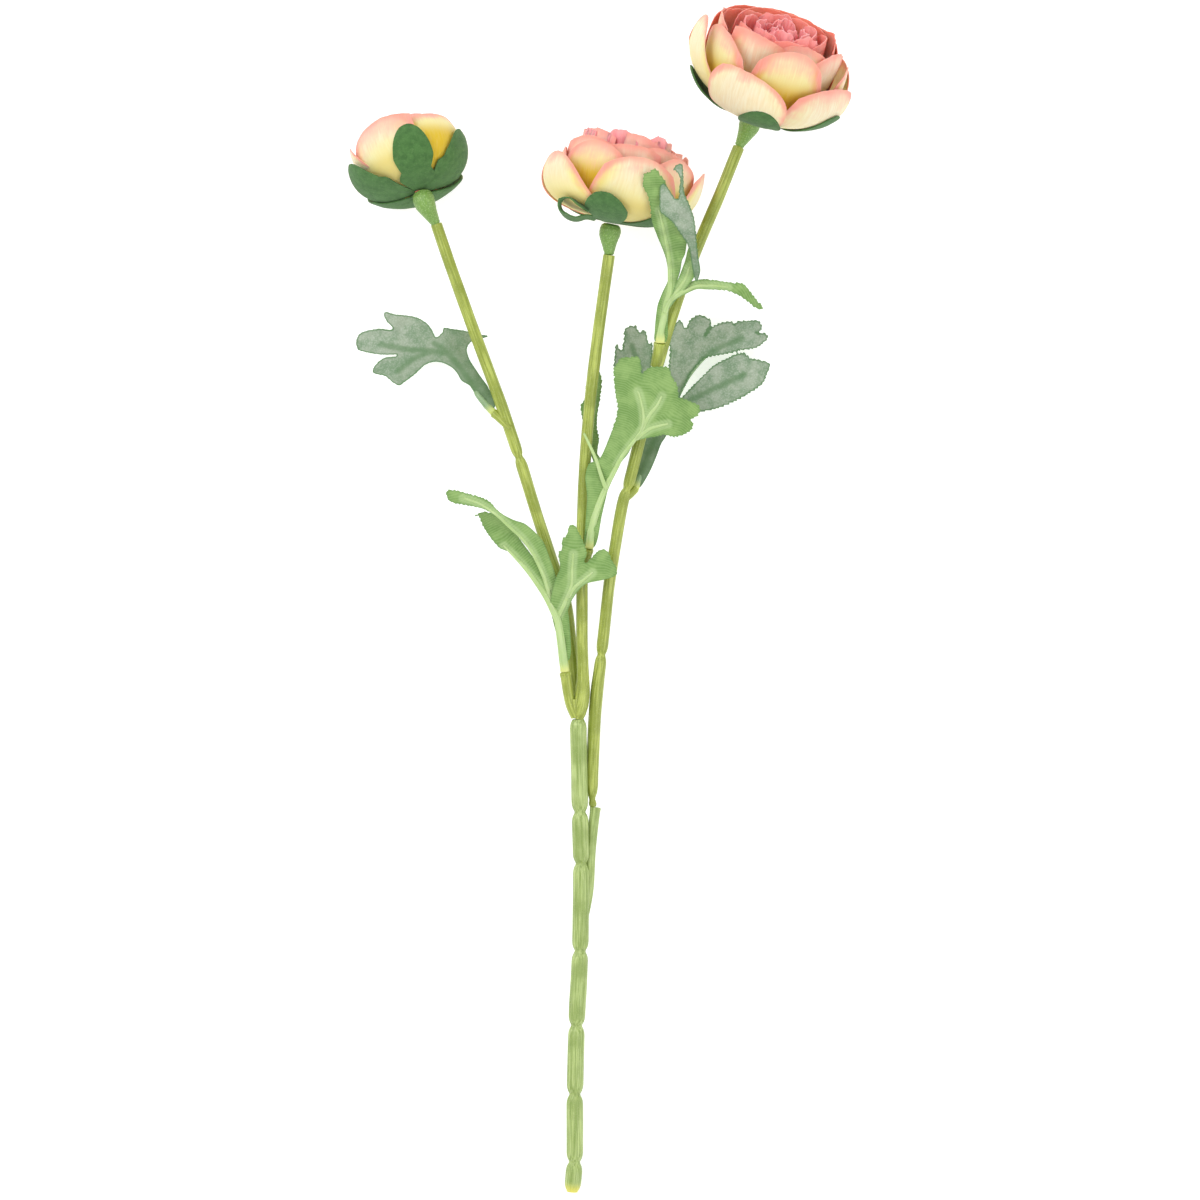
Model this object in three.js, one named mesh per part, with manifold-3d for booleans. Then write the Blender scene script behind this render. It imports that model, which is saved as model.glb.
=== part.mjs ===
// Artificial ranunculus spray: a jointed plastic stem with three blooms and five cloth leaves, lying down.
// Millimetres, +Z up from the surface it lies on, +Y from the cut end to the blooms.
import * as THREE from 'three';
import { mergeGeometries, mergeVertices } from 'three/addons/utils/BufferGeometryUtils.js';
import Module from 'manifold-3d';

const wasm = await Module();
wasm.setup();
const { Vector2, Vector3 } = THREE;

// Driving dimensions
const GAP = 0.3; // clearance between neighbouring pieces
const WELD = 1e-3; // vertices closer than this are one
const STEM_RADIUS = 3.45;
const BRANCH_RADIUS = 2.4;
const SOCKET_RADIUS = 2.5;
const STALK_RADIUS = 1.3; // moulded leaf stalk where it plugs in
const RIB_TIP_RADIUS = 0.45;
const LEAF_THICKNESS = 0.8;
const PETAL_THICKNESS = 0.8;
const SEPAL_THICKNESS = 0.9;
const STEM_SIDES = 8;
const RIB_SIDES = 5;
const RIB_CLEARANCE = 0.5; // more than the gap between a blade and its ribs, where they bend
const GUTTER = 0.1; // how far a leaf's halves rise from its rib, as a share of their width
const TOOTH = 0.45; // height of the teeth along a leaf's edge
const PETAL_STEPS = [3, 3]; // across and along, where a petal gives none of its own
const UP = new Vector3(0, 0, 1);

const vector = (p) => new Vector3(p[0], p[1], p[2]);
const lerp = THREE.MathUtils.lerp;
const radians = THREE.MathUtils.degToRad;

// ---------- closed solids from surfaces ----------

// A geometry with its vertices merged by place.
function welded(geometry) {
  geometry.deleteAttribute('normal');
  geometry.deleteAttribute('uv');
  return mergeVertices(geometry, WELD);
}

// The triangles of an index that haven't collapsed to an edge or a point.
function trianglesOf(index) {
  const triangles = [];
  for (let i = 0; i < index.length; i += 3) {
    const [a, b, c] = [index[i], index[i + 1], index[i + 2]];
    if (a !== b && b !== c && c !== a) triangles.push([a, b, c]);
  }
  return triangles;
}

// A closed geometry as a manifold-3d solid.
function solidOf(geometry) {
  const g = welded(geometry);
  const triVerts = new Uint32Array(trianglesOf(g.index.array).flat());
  return new wasm.Manifold(new wasm.Mesh({ numProp: 3, vertProperties: g.attributes.position.array, triVerts }));
}

// Both faces of a surface as points, half the thickness out along its normals and then half the thickness in.
function bothFaces({ position, normal }, thickness) {
  const count = position.count;
  const points = new Float32Array(count * 6);
  for (let i = 0; i < count; i++) {
    const p = new Vector3().fromBufferAttribute(position, i);
    const n = new Vector3().fromBufferAttribute(normal, i).multiplyScalar(thickness / 2);
    p.clone().add(n).toArray(points, i * 3);
    p.clone().sub(n).toArray(points, (i + count) * 3);
  }
  return points;
}

// Open surfaces that meet along their edges, each as a closed sheet: both faces are split alike, its edge is walled,
// and where two meet their walls agree, because the normals are those of the whole.
function thicken(surfaces, thickness) {
  const sizes = surfaces.map((surface) => surface.index.count);
  const open = welded(mergeGeometries(surfaces));
  open.computeVertexNormals();
  const count = open.attributes.position.count;
  const points = bothFaces(open.attributes, thickness);
  let start = 0;
  return sizes.map((size) => {
    const index = [];
    const edges = new Set();
    for (const corner of trianglesOf(open.index.array.slice(start, start + size))) {
      index.push(...corner, corner[0] + count, corner[2] + count, corner[1] + count);
      corner.forEach((a, k) => edges.add(a + ' ' + corner[(k + 1) % 3]));
    }
    for (const edge of edges) {
      const [a, b] = edge.split(' ').map(Number);
      if (edges.has(b + ' ' + a)) continue;
      if (a < b) index.push(b, a, b + count, a, a + count, b + count);
      else index.push(b, a, a + count, b, a + count, b + count);
    }
    start += size;
    const sheet = new THREE.BufferGeometry();
    sheet.setAttribute('position', new THREE.BufferAttribute(points, 3));
    sheet.setIndex(index);
    return sheet;
  });
}

// A plane of columns by rows whose points are moved to point(across, along), across from -1 to 1, along 0 to 1.
function sheetSurface(columns, rows, point) {
  const plane = new THREE.PlaneGeometry(2, 1, columns, rows);
  const position = plane.attributes.position;
  for (let i = 0; i < position.count; i++) {
    const p = point(position.getX(i), position.getY(i) + 0.5);
    position.setXYZ(i, p.x, p.y, p.z);
  }
  return plane;
}

const joined = (solids) => wasm.Manifold.union(solids).simplify(2 * WELD);

// ---------- round bars: stems, sockets, stalks and ribs ----------

// Directions along, across and above a curve at a share of its length.
function frameAlong(curve, share) {
  const along = curve.getTangentAt(THREE.MathUtils.clamp(share, 0, 1));
  const across = new Vector3().crossVectors(along, UP).normalize();
  return { along, across, above: new Vector3().crossVectors(across, along) };
}

// A lathe profile of [length, radius] pairs, closed at both ends and bent along a smooth curve through the points.
function bar(points, profileOf, sides = STEM_SIDES) {
  const curve = new THREE.CatmullRomCurve3(points.map(vector), false, 'centripetal');
  curve.arcLengthDivisions = 400;
  const total = curve.getLength();
  const profile = profileOf(total, curve);
  const outline = [[0, 0], ...profile, [total, 0]].map(([s, r]) => new Vector2(r, s));
  const lathe = new THREE.LatheGeometry(outline, sides);
  const position = lathe.attributes.position;
  for (let i = 0; i < position.count; i++) {
    const share = position.getY(i) / total;
    const { across, above } = frameAlong(curve, share);
    const p = curve.getPointAt(THREE.MathUtils.clamp(share, 0, 1));
    p.addScaledVector(across, position.getX(i)).addScaledVector(above, position.getZ(i));
    position.setXYZ(i, p.x, p.y, p.z);
  }
  return solidOf(lathe);
}

// The length along a curve at which it reaches a height y up the spray.
function lengthAt(curve, y) {
  let [low, high] = [0, 1];
  for (let i = 0; i < 24; i++) {
    const middle = (low + high) / 2;
    if (curve.getPointAt(middle).y < y) low = middle;
    else high = middle;
  }
  return low * curve.getLength();
}

// A stem of moulded segments: an even bar with chamfered ends, pinched where two segments meet.
function segmented(radius, pinches = [], pinchRadius = 0.66 * radius, step = 26) {
  const chamfer = 0.8;
  const half = 1.6;
  return (total, curve) => {
    const marks = pinches.map((y) => lengthAt(curve, y));
    const rings = [[0, radius - chamfer], [chamfer, radius]];
    let last = chamfer;
    for (const mark of [...marks, total - chamfer + half]) {
      const stretches = Math.max(1, Math.round((mark - half - last) / step));
      for (let i = 1; i < stretches; i++) rings.push([lerp(last, mark - half, i / stretches), radius]);
      if (mark > total - half) break;
      rings.push([mark - half, radius], [mark - 0.4, pinchRadius], [mark + 0.4, pinchRadius], [mark + half, radius]);
      last = mark + half;
    }
    return [...rings, [total - chamfer, radius], [total, radius - chamfer]];
  };
}

// A bar that tapers evenly, with a ring near each of its points.
const tapered = (from, to, rings) => (total) =>
  Array.from({ length: rings + 1 }, (_, i) => [(total * i) / rings, lerp(from, to, i / rings)]);

// ---------- stems ----------

const STEMS = {
  main_stem: {
    path: [[-11.8, -250, 3.6], [-10.8, -237.3, 4.6], [-10.6, -208.5, 6.6], [-9.9, -179.4, 8.6], [-8.4, -147.9, 10.8],
      [-8, -110.9, 13.4], [-8.4, -89.2, 14.9], [-9.2, -50.3, 17.6]],
    radius: STEM_RADIUS,
    pinches: [-237.3, -208.5, -179.4, -147.9, -110.9, -89.2],
    sockets: [[[-5.9, -136, 10.2], [-4.4, -124.3, 10.6], [-3.2, -105.3, 11.4], [-1.9, -87.3, 12.2]]],
    colour: 0xaebd57,
  },
  middle_branch: {
    path: [[-9, -49.3, 17.8], [-7.4, -37.8, 18.6], [-7.6, -16.8, 20], [-7.6, 0, 21.2], [-7.5, 25.2, 23.2],
      [-6.5, 54.5, 26], [-4.1, 83.7, 28.6], [-0.6, 113, 31], [3.8, 144.2, 33.6]],
    radius: BRANCH_RADIUS,
    pinches: [],
    sockets: [
      [[-8.4, -46, 18.6], [-11.3, -39.5, 19.6], [-14.3, -30.2, 20.8]],
      [[-6.7, 14.3, 22.8], [-5.7, 18, 24.6], [-4.8, 21.4, 26.4]],
      [[-8.8, -47, 16.5], [-9.5, -45.6, 13.2], [-9.7, -42.7, 12.5]],
    ],
    colour: 0xabb950,
  },
  left_branch: {
    path: [[-9.7, -42, 12.4], [-10.7, -33.7, 12.8], [-12.2, -18.9, 14.2], [-14.7, 0, 16.4], [-20.3, 16.8, 18.4],
      [-25.8, 33.6, 20.6], [-34, 60, 24.2], [-42.1, 83.8, 26.4], [-49.8, 104.6, 27.6], [-59, 129.6, 27.8],
      [-68.6, 157.4, 28]],
    radius: BRANCH_RADIUS,
    pinches: [60],
    sockets: [[[-36.9, 72.1, 26.4], [-40.2, 75.4, 26.2], [-43.4, 78.8, 25.4]]],
    colour: 0xa8b84c,
  },
  right_branch: {
    path: [[-1.9, -86.6, 12.2], [-2.3, -71.6, 13], [-1.2, -42.1, 15.4], [0.6, -23.1, 17.2], [3.8, 6.3, 20.4],
      [6.1, 21, 22.2], [9.6, 41.1, 24.8], [12.6, 51.1, 26.2], [16.8, 67.8, 28], [24.7, 100.5, 29.4],
      [32.4, 125.6, 29.4], [40.6, 147.4, 27.6], [49.2, 167.7, 24.6], [58.2, 190.2, 20.1]],
    radius: BRANCH_RADIUS,
    pinches: [-84, -23, 46.6],
    sockets: [
      [[11.3, 42.3, 25], [13.2, 44.9, 24.4], [14.9, 47.4, 23.2]],
      [[23.4, 97.9, 29.6], [24.3, 102.9, 31], [25.1, 107.5, 32.6]],
    ],
    colour: 0xacb94f,
  },
};

function stem({ path, radius, pinches, sockets }) {
  const socket = (points) => bar(points, tapered(0.9 * SOCKET_RADIUS, SOCKET_RADIUS, 3));
  return joined([bar(path, segmented(radius, pinches)), ...sockets.map(socket)]);
}

// ---------- leaves ----------

// A leaf is a tree of ribbons. Each row of a ribbon is [x, y, z, left half, right half, roll] at its centre line,
// and a lobe grows from the part of its parent's last row between from and to, where -1 is left and 1 is right.
const LEAVES = {
  left_leaf: {
    upperSide: -1,
    stalk: [-44, 79.4, 24.9],
    rows: [[-45.5, 81.5, 26.2, 1, 1], [-48.5, 86.5, 25, 2.5, 2.5], [-54, 94.5, 23, 3.8, 3.8], [-59.5, 101.5, 20, 4.6, 4.6]],
    lobes: [
      {
        from: -1, to: 0.3,
        rows: [[-64.5, 104, 19, 3.8, 3.4], [-71.5, 105, 17, 5.5, 5], [-80, 106.5, 15, 7.2, 5.5]],
        lobes: [
          { from: -1, to: -0.25, rows: [[-83.5, 100.5, 14, 5.5, 2.5], [-89, 98.5, 13, 3.8, 3.4],
            [-95, 97, 12, 1.3, 1.7]] },
          { from: -0.25, to: 0.45, rows: [[-85.5, 107.5, 15, 3.8, 3.4], [-92.5, 108.5, 14, 5.1, 4.6],
            [-98.5, 109, 13, 4.4, 4.4], [-102.5, 109, 13, 2.5, 2.5]] },
          { from: 0.45, to: 1, rows: [[-78.5, 114, 16.5, 2.5, 3.4], [-83, 115.5, 18, 2.5, 3.8],
            [-87.5, 118.5, 18, 1.7, 1.7], [-90.5, 120.5, 18, 0.4, 0.4]] },
        ],
      },
      { from: 0.3, to: 1, rows: [[-58.5, 107, 18, 4.6, 2.9], [-55.5, 110, 15, 4.2, 2.5], [-51, 111.5, 13, 1.7, 1.3],
        [-47, 111.5, 12, 0.4, 0.4]] },
    ],
  },
  middle_leaf: {
    upperSide: 1,
    stalk: [-4.7, 22.1, 26.9],
    rows: [[-4.3, 25, 26, 0.8, 0.4], [-2.5, 31.5, 28.5, 2.9, 0.6], [0, 40, 30, 5.4, 0.6], [2, 47, 31, 7.1, 0.8]],
    lobes: [
      { from: -1, to: -0.5, rows: [[-0.5, 55.5, 26.5, 1.4, 1.7], [-2.5, 62, 22.5, 2.1, 1.9], [-3.5, 71.5, 21, 3.8, 3.4],
        [-4, 82, 20.5, 4.2, 3.8], [-2.5, 90.5, 21, 3.4, 2.9], [-0.5, 95.5, 21.5, 0.8, 0.8]] },
      {
        from: -0.5, to: 1,
        rows: [[5.5, 54, 32, 5.4, 0.8], [9, 60, 33, 7.9, 0.8], [13.5, 65.5, 34.5, 10, 1.3],
          [16.5, 70.5, 35.5, 11.7, 2.5]],
        lobes: [
          { from: -1, to: -0.35, rows: [[13, 79.5, 36, 5.8, 3.3], [12, 87.5, 36, 5.8, 4.2], [11.5, 95, 35.5, 5.4, 5],
            [11.5, 99.5, 35, 3.8, 4.2], [12, 101, 35, 2.5, 3.3]] },
          { from: -0.35, to: 0.35, rows: [[20, 79.5, 36.5, 2.5, 3.8], [23, 84.5, 37, 5, 5.4], [24, 91, 37, 5.8, 5.8],
            [24, 95, 36.5, 5, 4.2], [24, 96.5, 36, 3.3, 2.9]] },
          { from: 0.35, to: 1, rows: [[22.5, 72, 36, 3.3, 2.5], [28.5, 74, 36, 5.8, 4.6], [34, 76, 35.5, 7.1, 6.3],
            [38.5, 77.5, 35, 4.2, 3.3], [40.5, 78, 34.5, 1.7, 1.7]] },
        ],
      },
    ],
  },
  upper_leaf: {
    upperSide: 1,
    stalk: [25.2, 108.3, 32.8],
    rows: [[25.5, 112, 33.5, 1.5, 1.9], [26.5, 119, 34.5, 2.7, 3.3], [28, 124.5, 35.5, 3.1, 3.8],
      [29, 129, 36.5, 2.1, 3.3]],
    lobes: [
      { from: -1, to: -0.1, rows: [[29, 137, 39, 1.3, 3.3], [28, 145.5, 45, 2.1, 5.8], [25.5, 153.5, 53, 3.3, 7.1],
        [23, 162.5, 62, 3.3, 3.7], [21, 170.5, 66.5, 2.9, 3.3], [21, 175, 68, 2.1, 2.5]] },
      {
        from: -0.1, to: 0.5,
        rows: [[33.5, 134.5, 40, 1.7, 2.5], [36.5, 139.5, 46, 2.1, 2.9, 15], [38.5, 145, 54, 2.1, 2.1, 85],
          [36.5, 152.5, 61, 3.3, 2.9, 150], [32.5, 160, 65, 5.4, 5.8, 172]],
        lobes: [
          { from: -1, to: -0.1, rows: [[33.5, 166.5, 67, 1.7, 1.7, 175], [33.5, 172.5, 67.5, 1, 1, 175],
            [33, 179, 67.5, 0.6, 0.6, 175]] },
          { from: -0.1, to: 1, rows: [[28, 165, 66, 3.3, 3.3, 175], [27, 169.5, 66, 1.7, 1.7, 175],
            [26.5, 171.5, 66, 0.4, 0.4, 175]] },
        ],
      },
      { from: 0.5, to: 1, rows: [[36, 129, 38, 2.1, 0.6], [41.5, 130.5, 42, 3.1, 0.6], [51, 130, 45, 2.5, 0.8],
        [59, 128.5, 44, 2.9, 1.2], [64, 125, 41, 1.7, 1.7], [67, 122.5, 39, 0.4, 0.4]] },
    ],
  },
  right_leaf: {
    upperSide: -1,
    stalk: [15.3, 48, 22.9],
    rows: [[17, 52.5, 22.8, 1.2, 1.5], [19, 58.5, 22, 2.9, 3.4], [22.5, 67, 19, 3.8, 4.2], [26, 75.5, 16, 5, 5],
      [28.5, 82, 14, 6.7, 5.9]],
    lobes: [
      { from: -1, to: -0.45, rows: [[22.5, 88, 12.5, 3.4, 3.4], [17, 98, 11, 5.9, 5.5], [14.5, 105.5, 11, 5.9, 5.9],
        [14, 111, 12, 3.8, 4.2], [14, 114.5, 12.5, 1.7, 2.1]] },
      { from: -0.45, to: 0, rows: [[32, 94.5, 12, 2.9, 3.4], [35.5, 104.5, 12, 5.5, 5.1], [38, 111, 13, 7.2, 5.9],
        [39.5, 116.5, 14, 5.9, 5.1], [41, 120, 14, 1.3, 1.3]] },
      { from: 0, to: 0.5, rows: [[37, 93.5, 12, 2.9, 2.5], [41, 101, 12, 4.2, 2.5], [48, 107.5, 13, 5.9, 3.8],
        [57, 110.5, 14, 6.3, 5.5], [65, 111.5, 13, 5.5, 3.8], [70, 111, 12, 1.3, 1.3]] },
      { from: 0.5, to: 1, rows: [[35.5, 85.5, 12.5, 2.5, 2.5], [43, 87, 11, 5.5, 5.9], [51.5, 90, 10.5, 8.8, 7.6],
        [60, 94, 11, 9.7, 7.6], [66.5, 96.5, 11, 5.1, 5.5], [71, 98.5, 10.5, 1.3, 1.3]] },
    ],
  },
  fork_leaf: {
    upperSide: 1,
    stalk: [-14.4, -29.6, 21],
    rows: [[-14.5, -26, 21.5, 0.4, 1.3], [-16, -19, 22.5, 0.5, 2.9], [-17, -12.5, 24, 0.6, 3.8],
      [-18, -7, 25, 1.3, 4.2]],
    lobes: [
      {
        from: -1, to: 0.1,
        rows: [[-19.5, -1, 26, 2.1, 1.7], [-22, 7.5, 28, 3.4, 2.1], [-24.5, 14, 29.5, 4.2, 2.9]],
        lobes: [
          { from: -1, to: -0.1, rows: [[-29.5, 15, 28, 2.1, 2.1], [-35, 21, 26.5, 3.8, 3.8], [-41.5, 27.5, 25, 4.6, 4.2],
            [-47, 33, 24, 3.4, 3.4], [-51, 36, 23, 1.7, 1.7]] },
          { from: -0.1, to: 1, rows: [[-27.5, 20, 31, 2.1, 4.2], [-33, 27, 32.5, 2.1, 3.8], [-39.5, 33.5, 33.5, 1.7, 2.5],
            [-46, 38.5, 34, 1.5, 2.1], [-54.5, 42, 32, 2.1, 2.1], [-63, 44, 29, 1.7, 1.7]] },
        ],
      },
      {
        from: 0.1, to: 1,
        rows: [[-16, -2, 27, 2.1, 1.7], [-12, 4, 29.5, 5.4, 1.7]],
        lobes: [
          { from: -1, to: 0.1, rows: [[-11.5, 10.5, 31, 5, 3.8], [-11.5, 16.5, 32, 5.4, 4.6], [-11.5, 23, 33, 4.6, 4.2],
            [-11.5, 28.5, 33.5, 2.1, 2.1], [-11.5, 30.5, 33.5, 0.8, 0.8]] },
          { from: 0.1, to: 1, rows: [[-8, 7.5, 30, 2.9, 1.3], [-3.5, 11.5, 31, 5, 3.3], [1.5, 14.5, 31.5, 4.6, 4.6],
            [5, 16.5, 31.5, 2.5, 2.5]] },
        ],
      },
    ],
  },
};

// The chains of ribbons that run from the stalk to each lobe's tip.
function chains(ribbon, before = []) {
  const chain = [...before, ribbon];
  return ribbon.lobes ? ribbon.lobes.flatMap((lobe) => chains(lobe, chain)) : [chain];
}

// Where a place across the last ribbon of a chain falls across the ribbon at a level of it.
function acrossAt(chain, level, t) {
  for (let i = chain.length - 1; i > level; i--) t = lerp(chain[i].from, chain[i].to, (t + 1) / 2);
  return t;
}

// The point at a place t across a row: the two halves rise from the rib as a shallow gutter.
function rowPoint(chain, level, i, t) {
  const { rows } = chain[level];
  const before = i > 0 ? vector(rows[i - 1]) : level > 0 ? endPoint(chain, level) : vector(rows[0]);
  const after = vector(rows[Math.min(i + 1, rows.length - 1)]);
  const [x, y, z, left, right, roll = 0] = rows[i];
  const along = after.sub(before).normalize();
  const level0 = new Vector3().crossVectors(along, UP).normalize();
  const above0 = new Vector3().crossVectors(level0, along);
  const across = level0.clone().multiplyScalar(Math.cos(radians(roll))).addScaledVector(above0, Math.sin(radians(roll)));
  const above = above0.multiplyScalar(Math.cos(radians(roll))).addScaledVector(level0, -Math.sin(radians(roll)));
  const half = t < 0 ? left : right;
  const rise = chain[0].upperSide * GUTTER * half * Math.abs(t);
  return { point: new Vector3(x, y, z).addScaledVector(across, half * t).addScaledVector(above, rise), across, above };
}

// The middle of the part of the parent's last row that a ribbon grows from.
function endPoint(chain, level) {
  const parent = chain[level - 1];
  const t = (chain[level].from + chain[level].to) / 2;
  return rowPoint(chain.slice(0, level), level - 1, parent.rows.length - 1, t).point;
}

// A leaf's strip as the points of all its rows, smoothed between them, with teeth along its free edges.
function stripPoint(chain, v, t) {
  const rows = chain.flatMap((ribbon, level) => ribbon.rows.map((_, i) => ({ level, i })));
  const k = Math.min(Math.floor(v), rows.length - 2);
  const f = v - k;
  const place = ({ level, i }) => rowPoint(chain, level, i, acrossAt(chain, level, t));
  const [here, next] = [place(rows[k]), place(rows[k + 1])];
  const last = rows[k + 2] && rows[k + 2].level === rows[k + 1].level ? place(rows[k + 2]).point : next.point;
  const first = k > 0 ? place(rows[k - 1]).point : here.point;
  const leave = next.point.clone().sub(first).multiplyScalar(first === here.point ? 1 : 0.5);
  const arrive = last.clone().sub(here.point).multiplyScalar(last === next.point ? 1 : 0.5);
  const point = here.point.clone().multiplyScalar(2 * f ** 3 - 3 * f ** 2 + 1);
  point.addScaledVector(next.point, 3 * f ** 2 - 2 * f ** 3);
  point.addScaledVector(leave, f ** 3 - 2 * f ** 2 + f).addScaledVector(arrive, f ** 3 - f ** 2);
  const ownT = acrossAt(chain, rows[k + 1].level, t);
  if (k > 0 && Math.abs(ownT) > 0.999) point.addScaledVector(next.across, ownT * TOOTH * Math.sin(Math.PI * f));
  return point;
}

// The strips side by side, with one step a row where they are still one blade and two a row along the lobes.
function leafStrips(leaf) {
  return chains(leaf).map((chain) => {
    const lobeRows = chain.at(-1).rows.length;
    const bladeRows = chain.slice(0, -1).reduce((sum, ribbon) => sum + ribbon.rows.length, 0);
    const steps = [0];
    for (let v = 1; v < bladeRows; v++) steps.push(v);
    for (let half = 1; half <= 2 * lobeRows; half++) steps.push(Math.max(bladeRows - 1, 0) + half / 2);
    return sheetSurface(2, steps.length - 1, (t, v) => stripPoint(chain, steps[Math.round(v * (steps.length - 1))], t));
  });
}

const leafBlade = (leaf) => joined(thicken(leafStrips(leaf), LEAF_THICKNESS).map(solidOf));

// A point at a place across a row, on the side of the blade that the ribs are moulded to.
function ribPoint(chain, level, i, t, radius) {
  const { point, above } = rowPoint(chain, level, i, t);
  const offset = LEAF_THICKNESS / 2 + GAP + RIB_CLEARANCE + radius;
  return point.addScaledVector(above, chain[0].upperSide * offset).toArray();
}

// The ribs of a ribbon and of its lobes: each branches from its parent's rib and crosses the parent's last row.
function ribs(chain, path, startRadius) {
  const level = chain.length - 1;
  const { rows, lobes = [] } = chain[level];
  const endRadius = lobes.length ? lerp(startRadius, RIB_TIP_RADIUS, 0.4) : RIB_TIP_RADIUS;
  const points = rows.map((_, i) => ribPoint(chain, level, i, 0, lerp(startRadius, endRadius, i / rows.length)));
  const own = [...path, ...(lobes.length ? points : points.slice(0, -1))];
  const branches = lobes.map((lobe) => {
    const crossing = ribPoint(chain, level, rows.length - 1, (lobe.from + lobe.to) / 2, startRadius);
    return ribs([...chain, lobe], [own.at(-2), crossing], endRadius);
  });
  return [bar(own, tapered(startRadius, endRadius, own.length - 1), RIB_SIDES), ...branches.flat()];
}

// The moulded stalk with the ribs that run from it to the lobes on the leaf's upper side.
const leafStalk = (leaf) => joined(ribs([leaf], [leaf.stalk], STALK_RADIUS));

// ---------- blooms ----------

// A petal's profile runs through base, belly and rim as [radius, height] along the head's axis. azimuth 0 faces up
// from the surface and 90 to the right. half is its half breadth, reach the share of the profile that it covers and
// lift how far it stands out from it. taper narrows its tip, tuck lets one edge lie over the next petal.
function petalPoint(petal, u, v) {
  const { azimuth, base, belly, rim, half, reach = 1, lift = 0, drop = 0.16, tuck = 1, taper = 0, ruffle = 0,
    phase = 0 } = petal;
  const along = reach * v * (1 - drop * Math.abs(u) ** 2.5);
  const [a, b, c] = [(1 - along) ** 2, 2 * along * (1 - along), along ** 2];
  const slope = [0, 1].map((k) => lerp(belly[k] - base[k], rim[k] - belly[k], along));
  const out = (lift * Math.min(1, 0.5 + 2 * along)) / Math.hypot(...slope);
  const wave = ruffle * along ** 3;
  const r = a * base[0] + b * belly[0] + c * rim[0] + out * slope[1]
    + tuck * u * Math.min(1, 2.5 * along) + wave * Math.sin(3 * u + phase);
  const z = a * base[1] + b * belly[1] + c * rim[1] - out * slope[0] + 0.5 * wave * Math.cos(3 * u + 2 * phase);
  const breadth = Math.sin(Math.PI * (0.12 + (0.5 + taper) * v));
  const angle = radians(azimuth) + (u * half * breadth) / Math.max(r, 0.7 * belly[0]);
  return new Vector3(r * Math.sin(angle), -r * Math.cos(angle), z);
}

// A ring of petals of one shape, some with changes of their own by azimuth.
function whorl(azimuths, shape, changes = {}) {
  return azimuths.map((azimuth, i) => ({ ...shape, phase: 1.9 * i, azimuth, ...(changes[azimuth] || {}) }));
}

const evenly = (count, first) => Array.from({ length: count }, (_, i) => first + (360 * i) / count);

// The outer petals' profile, which the sepals follow too.
const OPEN_OUTER = { base: [2, 1.2], belly: [39, 1], rim: [31, 27] };
const BUD_OUTER = { base: [2, 1.2], belly: [31, 5], rim: [19, 30] };
const SEPAL = { lift: 2.7, tuck: 0.3, drop: 0.14, taper: 0.26, phase: 0, steps: [3, 4] };

const OPEN_BLOOM = [
  ...whorl([-80, -17, 47, 115, 187], { ...OPEN_OUTER, half: 22.5, tuck: 1.7, ruffle: 0.4, steps: [4, 4] }),
  ...whorl([-45, 13, 75, 150, 225], { base: [2, 2.4], belly: [32, 4], rim: [28.5, 35], half: 18.5, tuck: 1.5, ruffle: 0.4 }),
  ...whorl([-90, -10, 62, 135, 205], { base: [2, 3.6], belly: [26, 7], rim: [24, 40], half: 15.5, tuck: 1.4, ruffle: 0.4 }),
  ...whorl(evenly(4, 20), { base: [2, 5], belly: [19, 12], rim: [17.5, 40], half: 13, ruffle: 1 }),
  ...whorl(evenly(3, 60), { base: [2, 7], belly: [12, 16], rim: [10, 37], half: 8, ruffle: 1 }),
];

const BUD = [
  ...whorl([-75, 5, 80, 150, 215], { ...BUD_OUTER, half: 18, tuck: 1.4, drop: 0.1, steps: [4, 4] }),
  ...whorl([-35, 40, 110, 180, 250], { base: [2, 2.4], belly: [27, 8], rim: [14.5, 35], half: 16, tuck: 1.4, drop: 0.1 }),
  ...whorl(evenly(3, 10), { base: [2, 4], belly: [22, 12], rim: [8, 36], half: 13 }),
];

// The core inside the petals.
const CORE = [[0, 0.8], [3.5, 0.8], [5, 5], [5, 14], [3.5, 20], [0, 22]];

// Each head: where its petals start, the way its axis points, and the stem's end that its receptacle stands on.
const HEADS = {
  right_bloom: {
    origin: [66, 203, 25], turn: 16, tilt: 22, size: 1.05, stretch: 1, stemEnd: [58.7, 191.2, 19.9], petals: OPEN_BLOOM,
    sepals: whorl([-70, 0, 62, 135, 205], { ...OPEN_OUTER, ...SEPAL, half: 9.5, reach: 0.68 },
      { 0: { reach: 0.45 }, 135: { reach: 0.5 }, 205: { reach: 0.5 } }),
    colour: 0xf0dfa8,
  },
  middle_bloom: {
    origin: [5, 157.6, 33.6], turn: 11, tilt: 0, stretch: 0.88, stemEnd: [3.8, 144.2, 33.6], petals: OPEN_BLOOM,
    sepals: whorl([-60, 5, 70, 140, 215], { ...OPEN_OUTER, ...SEPAL, half: 9.5, reach: 0.6 }),
    colour: 0xf1dfae,
  },
  left_bud: {
    origin: [-75.8, 170.6, 29], turn: -16, tilt: -22, size: 0.97, stretch: 0.87, stemEnd: [-68.6, 157.4, 28], petals: BUD,
    sepals: whorl([-72, 12, 90, 155, 222], { ...BUD_OUTER, ...SEPAL, lift: 3.2, half: 11.5, reach: 0.85 }),
    colour: 0xf2e4b4,
  },
};

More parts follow.
